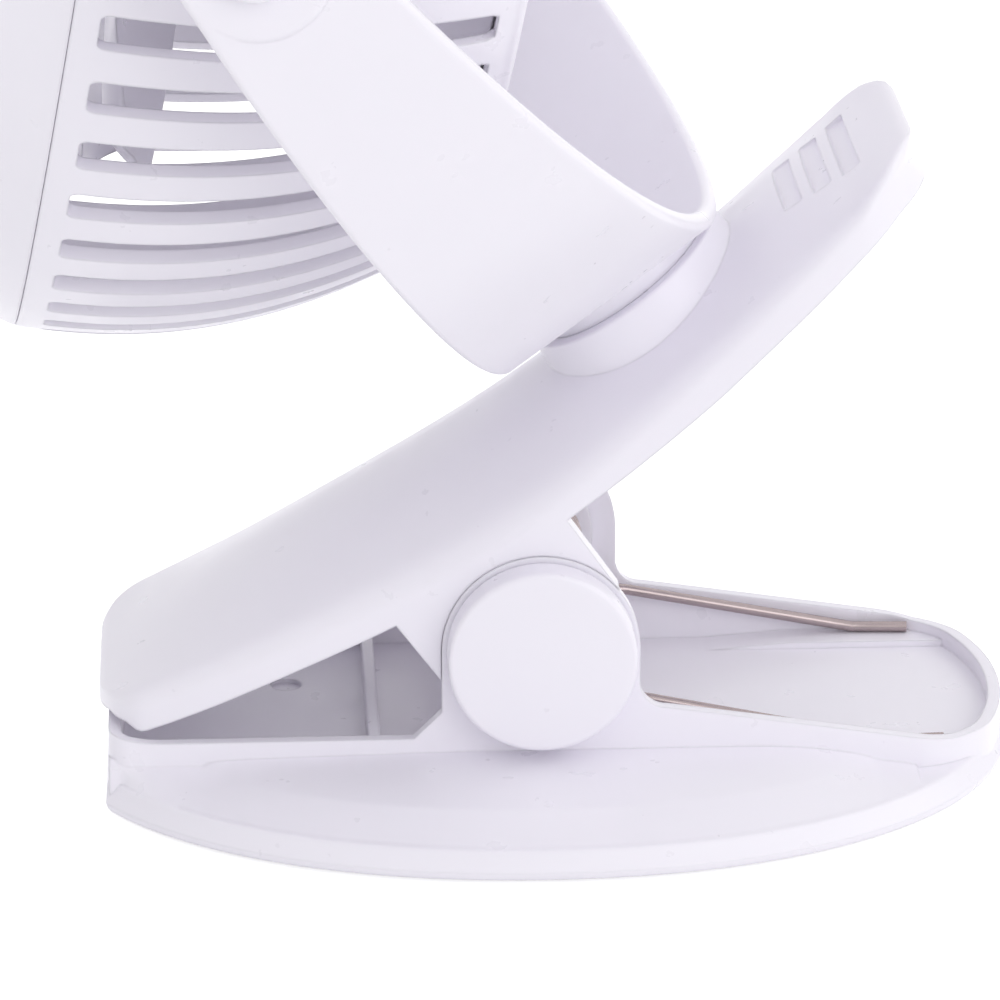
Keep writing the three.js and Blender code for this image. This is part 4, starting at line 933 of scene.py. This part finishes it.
def tilt_cap(yoke, name, side):
    """Round cap over a tilt pin."""
    face = mm(yoke.half_span) + CLEARANCE
    profile = [
        (0, face + 1.1), (2.7, face + 1.1), (2.7, face), (3.4, face), (3.6, face + 0.2),
        *arc(3, face + 1.5, 0.6, 0, 90, 6), (1.5, face + 2.17), (0, face + 2.2),
    ]
    place = SWIVEL @ Matrix.Translation((0, 0, YOKE_DEPTH)) @ Matrix.Rotation(-side * math.pi / 2, 4, "X")
    return turned(name, profile, place)


# ------------------------------------------------------------------ head

SEAM = 16.5  # from the tilt pivots forward to the seam
HEAD_WALL = 1.8
SLOT_START, SLOT_END, SLOT_SHARE = 2.9, 43.5, 0.5
SLOT_PHASE = 0.8  # of the first slot, in slots from the top of the head
RING_TAPER, RING_LIP = 2.1, 3.2
POD, POD_WALL, POD_FRONT = 32, 1.7, 26.5
COVER = 1.8
GRILLE_DEPTH, GRILLE_HUB, GRILLE_RING = 2.2, 14, 36
GRILLE_BARS = 16  # inside the middle ring; twice as many outside it
BAR_HALF = 0.55  # half of the width of a bar
HUB_RADIUS, HUB_FRONT, HUB_DEPTH = 12.4, 0.8, 11.6
BLADES, BLADE_REACH = 5, 51
BUTTON_RADIUS, BUTTON_STAND, BUTTON_OFFSET = 4.6, 1.4, 9
SCREW_PLACES = (90, 210, 330)  # of the cover's screws, in degrees
SHANK_HOLE, HEAD_HOLE, HEAD_SINK = 1.5, 2.6, 1.1


def shell_radius(head, distance):
    drop = mm(head.seam_radius) - mm(head.back_radius)
    return mm(head.seam_radius) - drop * (distance / (mm(head.shell_depth) - 1)) ** 2.2


def slot_tool(head):
    """Cutter for one air slot, wedge-shaped towards the fan's axis and round at its ends."""
    half = math.degrees(math.pi * SLOT_SHARE / head.slots)
    near, far = SLOT_START, SLOT_END + 0.6
    outline = []
    for side in (1, -1):
        for a in (range(0, 91, 15) if side > 0 else range(90, -1, -15)):
            turn = math.radians(a)
            outline.append((side * half * (0.7 + 0.3 * math.cos(turn)), near + 1.1 * (1 - math.sin(turn))))
    outline += [(-half, far - 0.8), (-half * 0.8, far), (half * 0.8, far), (half, far - 0.8)]
    loops = []
    for radius in (37, 72):
        loop = []
        for angle, distance in outline:
            turn = math.radians(angle)
            loop.append((radius * math.cos(turn), radius * math.sin(turn), SEAM - distance))
        loops.append(loop)
    return lofted("slot", loops)


def all_slots(head):
    """The slot cutter, copied all round and joined."""
    slots = copied_round(slot_tool(head), head.slots, SLOT_PHASE)
    lay(slots, [vertex.co / MM for vertex in slots.data.vertices], HEAD)
    return slots


def shell_body(head):
    """Rear shell: a deep bowl with air slots all round and a pod for battery and motor."""
    depth, back = mm(head.shell_depth), mm(head.back_radius)
    pod = POD + POD_WALL
    stations = [SLOT_END * (i / 30) for i in range(31)]
    outer = [(shell_radius(head, d), SEAM - d) for d in stations if d > 0]
    inner = [(shell_radius(head, d) - HEAD_WALL, SEAM - d) for d in reversed(stations)]
    profile = [
        (shell_radius(head, 0) - 0.12, SEAM - FIT / 2), (shell_radius(head, 0), SEAM - 0.16),
        *outer[1:], (back + 0.35, SEAM - depth + 1.5),
        *arc(back - 1, SEAM - depth + 1, 1, 0, -90, 6), (pod, SEAM - depth),
        (pod, SEAM - depth + COVER + CLEARANCE), (POD, SEAM - depth + COVER + CLEARANCE),
        (POD, SEAM - POD_FRONT - POD_WALL), (0, SEAM - POD_FRONT - POD_WALL), (0, SEAM - POD_FRONT),
        (pod, SEAM - POD_FRONT), (pod, SEAM - depth + HEAD_WALL), (back - 1.8, SEAM - depth + HEAD_WALL),
        *[(r, z if z < SEAM else SEAM - FIT / 2) for r, z in inner],
    ]
    shell = turned("shell_body", profile, HEAD, head.slots * 4)
    cut(shell, all_slots(head))
    end = mm(bpy.context.scene.fan_yoke.half_span) - mm(bpy.context.scene.fan_yoke.thickness) - CLEARANCE
    root = shell_radius(head, SEAM)
    for side in (-1, 1):
        place = HEAD @ Matrix.Rotation(-side * math.pi / 2, 4, "X")
        neck = [
            (0, root - 4), (8.5, root - 4), (8.5, end - 2.9), (8.2, end - 2.6),
            (5.6, end - 2.6), (5.6, end), (0, end),
        ]
        joined(shell, turned("boss", neck, place))
        cut(shell, rod("pin_hole", 2.7, root - 3, 90, place))
    return shell


def ring_body(head):
    """Front ring with a rounded nose and a spigot inside the shell."""
    seam, nose = mm(head.seam_radius), SEAM + mm(head.ring_depth)
    taper, lip = RING_TAPER, RING_LIP
    spigot = seam - HEAD_WALL - CLEARANCE
    mouth = seam - taper - lip
    profile = [
        (seam - 0.12, SEAM + FIT / 2), (seam - 0.04, SEAM + 0.16), (seam - taper * 0.5, SEAM + 4),
        (seam - taper, nose - 1.2),
        *arc(seam - taper - 1.2, nose - 1.2, 1.2, 0, 90, 6),
        (mouth + 0.4, nose), (mouth, nose - 0.4), (mouth, nose - 1.4), (spigot - 1.3, SEAM + 0.15),
        (spigot - 1.3, SEAM - 2.2), (spigot, SEAM - 2.2), (spigot, SEAM + FIT / 2),
    ]
    return turned("ring_body", profile, HEAD, 200)


def spokes(name, count, inner, outer, half, low, high):
    """Straight bars between two radii, all round, joined into one tool."""
    bar = block(name, (inner, -half, low), (outer, half, high), None, 0.25)
    return copied_round(bar, count, 0.5)


def grille_body(head):
    """Front grille: a hub, two rings and straight bars, more of them outside the middle ring."""
    outer = mm(head.seam_radius) - RING_TAPER - RING_LIP - CLEARANCE
    top = SEAM + mm(head.ring_depth) - 0.2
    low = top - GRILLE_DEPTH
    hub = turned("grille_body", [
        (0, low), (GRILLE_HUB, low), (GRILLE_HUB, top - 0.6), (GRILLE_HUB - 0.2, top - 0.2),
        (GRILLE_HUB - 0.6, top), (GRILLE_HUB / 2, top + 0.2), (0, top + 0.28),
    ])
    rings = []
    for start, end in ((outer - 2.2, outer), (GRILLE_RING - 0.7, GRILLE_RING + 0.7)):
        profile = [
            (start, low), (end, low), (end, top - 0.3),
            (end - 0.3, top), (start + 0.3, top), (start, top - 0.3),
        ]
        rings.append(turned("ring", profile, None, 160))
    bars = [
        spokes("bars", 2 * GRILLE_BARS, GRILLE_RING, outer - 1, BAR_HALF, low + 0.2, top - 0.1),
        spokes("bars", GRILLE_BARS, GRILLE_HUB - 1, GRILLE_RING, BAR_HALF, low + 0.2, top - 0.1),
    ]
    joined(hub, *rings, *bars)
    lay(hub, [vertex.co / MM for vertex in hub.data.vertices], HEAD)
    return hub


def blade(turn):
    """One impeller blade: twisted, cambered and swept forward, with a rounded outline."""
    middle = SEAM - HUB_FRONT - HUB_DEPTH / 2
    loops = []
    for i in range(25):
        share = i / 24
        radius = HUB_RADIUS - 1 + (BLADE_REACH - HUB_RADIUS + 1) * share
        chord = 15 + 14 * math.sin(math.pi * (0.15 + 0.62 * share))
        chord *= math.sqrt(max(0.12, 1 - max(0, (share - 0.86) / 0.14) ** 2))
        pitch = math.radians(34) * (1 - 0.35 * share)
        loop = []
        for k in range(32):
            around = 2 * math.pi * k / 32
            u, side = 0.5 * math.cos(around), math.sin(around)
            camber = 2.2 * (1 - 4 * u * u) - 0.7 + 0.7 * side
            tangent = chord * u * math.cos(pitch) - camber * math.sin(pitch) * 0.2
            axial = chord * u * math.sin(pitch) * 0.62 + camber
            angle = turn + 0.35 * share + tangent / radius
            loop.append((radius * math.cos(angle), radius * math.sin(angle), middle - 1 + axial))
        loops.append(loop)
    return lofted("blade", loops)


def impeller_body():
    """Impeller: a hub closed at the front, with five blades."""
    front, rear = SEAM - HUB_FRONT, SEAM - HUB_FRONT - HUB_DEPTH
    bore = 1 + CLEARANCE
    hub = turned("impeller_body", [
        (bore, rear + 1), (HUB_RADIUS - 1.6, rear + 1), (HUB_RADIUS - 1.6, rear), (HUB_RADIUS, rear),
        *arc(HUB_RADIUS - 1.6, front - 1.6, 1.6, 0, 90, 8), (HUB_RADIUS / 2, front + 0.05), (0, front + 0.1),
        (0, front - 2), (bore, front - 2),
    ])
    joined(hub, *[blade(2 * math.pi * i / BLADES) for i in range(BLADES)])
    cut(hub, rod("bore", bore, rear - 5, front - 2))
    lay(hub, [vertex.co / MM for vertex in hub.data.vertices], HEAD)
    return hub


def cover_body(head):
    """Round back cover, with holes for the button, the socket, the lamp and three screws."""
    outside = SEAM - mm(head.shell_depth)
    inside = outside + COVER
    radius = POD + POD_WALL - FIT
    cover = turned("cover_body", [
        (0, outside), (radius - 0.4, outside), (radius - 0.1, outside + 0.1), (radius, outside + 0.4),
        (radius, inside), (0, inside),
    ])
    for across, hole in ((BUTTON_OFFSET, BUTTON_RADIUS + 2 * FIT), (0, 1.5 + FIT)):
        cut(cover, rod("hole", hole, outside - 1, inside + 1, Matrix.Translation((across, 0, 0))))
    slot = block("slot", (-BUTTON_OFFSET - 1.8, -4.6, outside - 1), (1.8 - BUTTON_OFFSET, 4.6, inside + 1))
    bevel(slot, 1.2, 6, 80)
    cut(cover, slot)
    for degrees in SCREW_PLACES:
        turn = math.radians(degrees)
        place = Matrix.Translation(((POD - 4) * math.cos(turn), (POD - 4) * math.sin(turn), 0))
        cut(cover, rod("shank", SHANK_HOLE, outside - 1, inside + 1, place))
        cut(cover, rod("sink", HEAD_HOLE, outside - 1, outside + HEAD_SINK, place))
    lay(cover, [vertex.co / MM for vertex in cover.data.vertices], HEAD)
    return cover


def button_body(head):
    """Mode button, slightly domed."""
    outside = SEAM - mm(head.shell_depth)
    crown = outside - BUTTON_STAND
    profile = [
        (0, crown - 0.12), (BUTTON_RADIUS / 2, crown - 0.08), (BUTTON_RADIUS - 0.7, crown),
        *arc(BUTTON_RADIUS - 0.6, crown + 0.6, 0.6, -90, 0, 6), (BUTTON_RADIUS, outside + COVER - 0.4),
        (0, outside + COVER - 0.4),
    ]
    return turned("button_body", profile, HEAD @ Matrix.Translation((BUTTON_OFFSET, 0, 0)))


# ------------------------------------------------------------------ operators


class FanOperator:
    """What every operator of the fan shares."""

    bl_options = {"REGISTER", "UNDO"}


class BuildBase(FanOperator, bpy.types.Operator):
    """Models the base moulding with its tray and hinge ears"""

    bl_idname = "fan.base"
    bl_label = "Base"

    def execute(self, context):
        body = base_body(context.scene.fan_base)
        finish(body, "base", finishes()["white_abs"], ["base_shell"])
        return {"FINISHED"}


class BuildHingeCaps(FanOperator, bpy.types.Operator):
    """Models the two caps over the ends of the hinge pin"""

    bl_idname = "fan.hinge_caps"
    bl_label = "Hinge Caps"

    def execute(self, context):
        for name, side in (("near", -1), ("far", 1)):
            cap = hinge_cap(context.scene.fan_base, "cap_" + name, side)
            finish(cap, "base", finishes()["white_abs"], ["hinge_cap_" + name])
        return {"FINISHED"}


class BuildSprings(FanOperator, bpy.types.Operator):
    """Winds the two torsion springs of the clip"""

    bl_idname = "fan.springs"
    bl_label = "Springs"

    def execute(self, context):
        spring = context.scene.fan_spring
        for name, side in (("near", -1), ("far", 1)):
            line = spring_line(context.scene.fan_base, spring, side)
            wire = wire_piece("spring_" + name, line, mm(spring.wire_radius))
            finish(wire, "base", finishes()["spring_steel"], ["jaw_spring_" + name], 60)
        return {"FINISHED"}


class BuildJaw(FanOperator, bpy.types.Operator):
    """Models the crowned upper jaw with its collar and finger recesses"""

    bl_idname = "fan.jaw"
    bl_label = "Upper Jaw"

    def execute(self, context):
        finish(jaw_body(context.scene.fan_jaw), "jaw", finishes()["white_abs"], ["upper_jaw"])
        return {"FINISHED"}


class BuildYoke(FanOperator, bpy.types.Operator):
    """Models the yoke and the caps over its tilt pins"""

    bl_idname = "fan.yoke"
    bl_label = "Yoke"

    def execute(self, context):
        white = finishes()["white_abs"]
        finish(yoke_body(context.scene.fan_yoke), "arm", white, ["yoke"])
        for name, side in (("near", -1), ("far", 1)):
            cap = tilt_cap(context.scene.fan_yoke, "pivot_cap_" + name, side)
            finish(cap, "arm", white, ["tilt_cap_" + name])
        return {"FINISHED"}


class BuildHead(FanOperator, bpy.types.Operator):
    """Models the rear shell with its air slots, and the front ring"""

    bl_idname = "fan.head"
    bl_label = "Head"

    def execute(self, context):
        white = finishes()["white_abs"]
        finish(shell_body(context.scene.fan_head), "head", white, ["rear_shell"])
        finish(ring_body(context.scene.fan_head), "head", white, ["front_ring"])
        finish(grille_body(context.scene.fan_head), "head", white, ["front_grille"])
        return {"FINISHED"}


class BuildDrive(FanOperator, bpy.types.Operator):
    """Models the impeller, the back cover and the mode button"""

    bl_idname = "fan.drive"
    bl_label = "Impeller And Cover"

    def execute(self, context):
        white = finishes()["white_abs"]
        head = context.scene.fan_head
        finish(impeller_body(), "fan", white, ["impeller"])
        finish(cover_body(head), "head", white, ["back_cover"])
        finish(button_body(head), "button", white, ["mode_button"])
        return {"FINISHED"}


class DressNodes(FanOperator, bpy.types.Operator):
    """Gives the CAD nodes that stay their finishes"""

    bl_idname = "fan.dress_nodes"
    bl_label = "Finishes"

    def execute(self, context):
        dress = {
            "grey_rubber": ["foot_pad"],
            "plain_steel": [
                "hinge_pin", "swivel_washer", "swivel_screw", "motor_shaft", "tilt_pin_near",
                "tilt_pin_far", "cover_screw_1", "cover_screw_2", "cover_screw_3",
            ],
            "motor_steel": ["motor"],
            "socket_steel": ["charging_socket"],
            "board": ["circuit_board"],
            "cell_wrap": ["battery_pack"],
            "black_plastic": ["tact_switch"],
            "clear_plastic": ["led_window"],
            "white_abs": ["hinge_sleeve"],
        }
        for slot, names in dress.items():
            for name in names:
                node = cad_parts[name]
                node.data.materials.clear()
                node.data.materials.append(finishes()[slot])
        return {"FINISHED"}


class BuildStage(FanOperator, bpy.types.Operator):
    """Sets the floor, the light and the camera"""

    bl_idname = "fan.stage"
    bl_label = "Stage"

    def execute(self, context):
        stage = context.scene.fan_stage
        build_floor(stage)
        build_sky(context.scene, stage)
        area_light("key_light", stage.key_power, 0.9, (0.7, -1.0, 0.55))
        area_light("fill_light", stage.fill_power, 0.9, (-0.9, -0.7, 0.9))
        area_light("top_light", stage.top_power, 0.9, (1.1, 0.0, 0.9))
        build_camera(context.scene)
        return {"FINISHED"}


def white_to_camera(tree):
    """1 for rays of the camera, of mirrors and of glass, 0 for those that light the object."""
    path = add(tree, "ShaderNodeLightPath").outputs
    seen = add(tree, "ShaderNodeMath", {0: path["Is Camera Ray"], 1: path["Is Glossy Ray"]}, operation="ADD")
    seen = add(
        tree, "ShaderNodeMath", {0: seen.outputs[0], 1: path["Is Transmission Ray"]},
        operation="ADD", use_clamp=True,
    )
    return seen.outputs[0]


def build_floor(stage):
    """A wide pale floor that reads as white and keeps the fan's shadow."""
    bpy.ops.object.select_all(action="DESELECT")
    bpy.ops.mesh.primitive_plane_add(size=8)
    floor = fresh("floor")
    material = bpy.data.materials.new("painted_floor")
    material.use_nodes = True
    tree = material.node_tree
    tree.nodes.clear()
    matt = add(tree, "ShaderNodeBsdfDiffuse", {"Color": tuple(stage.floor)})
    glow = add(tree, "ShaderNodeEmission", {"Color": (1, 1, 1, 1), "Strength": 0.65})
    both = add(tree, "ShaderNodeAddShader", {0: matt.outputs[0], 1: glow.outputs[0]})
    shown = add(
        tree, "ShaderNodeMixShader",
        {0: white_to_camera(tree), 1: matt.outputs[0], 2: both.outputs[0]},
    )
    add(tree, "ShaderNodeOutputMaterial", {"Surface": shown.outputs[0]})
    floor.data.materials.append(material)


def build_sky(scene, stage):
    """Even light from all round, white where the camera sees it."""
    world = bpy.data.worlds.new("studio")
    scene.world = world
    world.use_nodes = True
    tree = world.node_tree
    tree.nodes.clear()
    light = add(tree, "ShaderNodeBackground", {"Color": (1, 1, 1, 1), "Strength": stage.sky})
    white = add(tree, "ShaderNodeBackground", {"Color": (1, 1, 1, 1), "Strength": 1.0})
    shown = add(
        tree, "ShaderNodeMixShader",
        {0: white_to_camera(tree), 1: light.outputs[0], 2: white.outputs[0]},
    )
    add(tree, "ShaderNodeOutputWorld", {"Surface": shown.outputs[0]})


def area_light(name, power, size, spot):
    """A square soft light aimed at the fan."""
    lamp = bpy.data.lights.new(name, "AREA")
    lamp.energy = power
    lamp.size = size
    lamp_object = bpy.data.objects.new(name, lamp)
    bpy.context.scene.collection.objects.link(lamp_object)
    lamp_object.location = spot
    aim = Vector((0, 0, 0.06)) - Vector(spot)
    lamp_object.rotation_euler = aim.to_track_quat("-Z", "Y").to_euler()


def build_camera(scene):
    """The photograph's view: a long lens, a little above the fan and square to the clip."""
    turn, rise, away = math.radians(-2.99), math.radians(19.91), 0.6497
    back = Vector((math.sin(turn) * math.cos(rise), -math.cos(turn) * math.cos(rise), math.sin(rise)))
    camera = bpy.data.cameras.new("camera")
    camera.sensor_fit = "HORIZONTAL"
    camera.sensor_width = 36
    camera.lens = 201.13
    camera.clip_start = 0.05
    camera.clip_end = 20
    camera_object = bpy.data.objects.new("camera", camera)
    scene.collection.objects.link(camera_object)
    camera_object.location = Vector((-0.00361, 0, 0.02963)) + away * back
    camera_object.rotation_euler = (math.pi / 2 - rise, 0, turn)
    scene.camera = camera_object


class FanPanel(bpy.types.Panel):
    """Lists the steps that build the fan"""

    bl_idname = "VIEW3D_PT_clip_fan"
    bl_label = "Clip Fan"
    bl_space_type = "VIEW_3D"
    bl_region_type = "UI"
    bl_category = "Clip Fan"

    def draw(self, context):
        for step in STEPS:
            self.layout.operator(step.bl_idname)
        for name in GROUPS:
            group = getattr(context.scene, name)
            box = self.layout.box()
            for key in group.bl_rna.properties.keys():
                if key not in ("rna_type", "name"):
                    box.prop(group, key)


STEPS = (
    BuildStage, BuildBase, BuildHingeCaps, BuildSprings, BuildJaw, BuildYoke, BuildHead, BuildDrive,
    DressNodes,
)
GROUPS = {
    "fan_base": BaseSizes,
    "fan_jaw": JawSizes,
    "fan_spring": SpringSizes,
    "fan_yoke": YokeSizes,
    "fan_head": HeadSizes,
    "fan_colours": FinishColours,
    "fan_stage": StageSettings,
}


def register():
    for name, group in GROUPS.items():
        bpy.utils.register_class(group)
        setattr(bpy.types.Scene, name, PointerProperty(type=group))
    for step in STEPS:
        bpy.utils.register_class(step)
    bpy.utils.register_class(FanPanel)


def unregister():
    bpy.utils.unregister_class(FanPanel)
    for step in reversed(STEPS):
        bpy.utils.unregister_class(step)
    for name, group in GROUPS.items():
        delattr(bpy.types.Scene, name)
        bpy.utils.unregister_class(group)


def main():
    """Builds the fan step by step."""
    register()
    bpy.context.scene.view_settings.view_transform = "Standard"
    for step in STEPS:
        group, name = step.bl_idname.split(".")
        getattr(getattr(bpy.ops, group), name)()


if __name__ == "__main__":
    main()
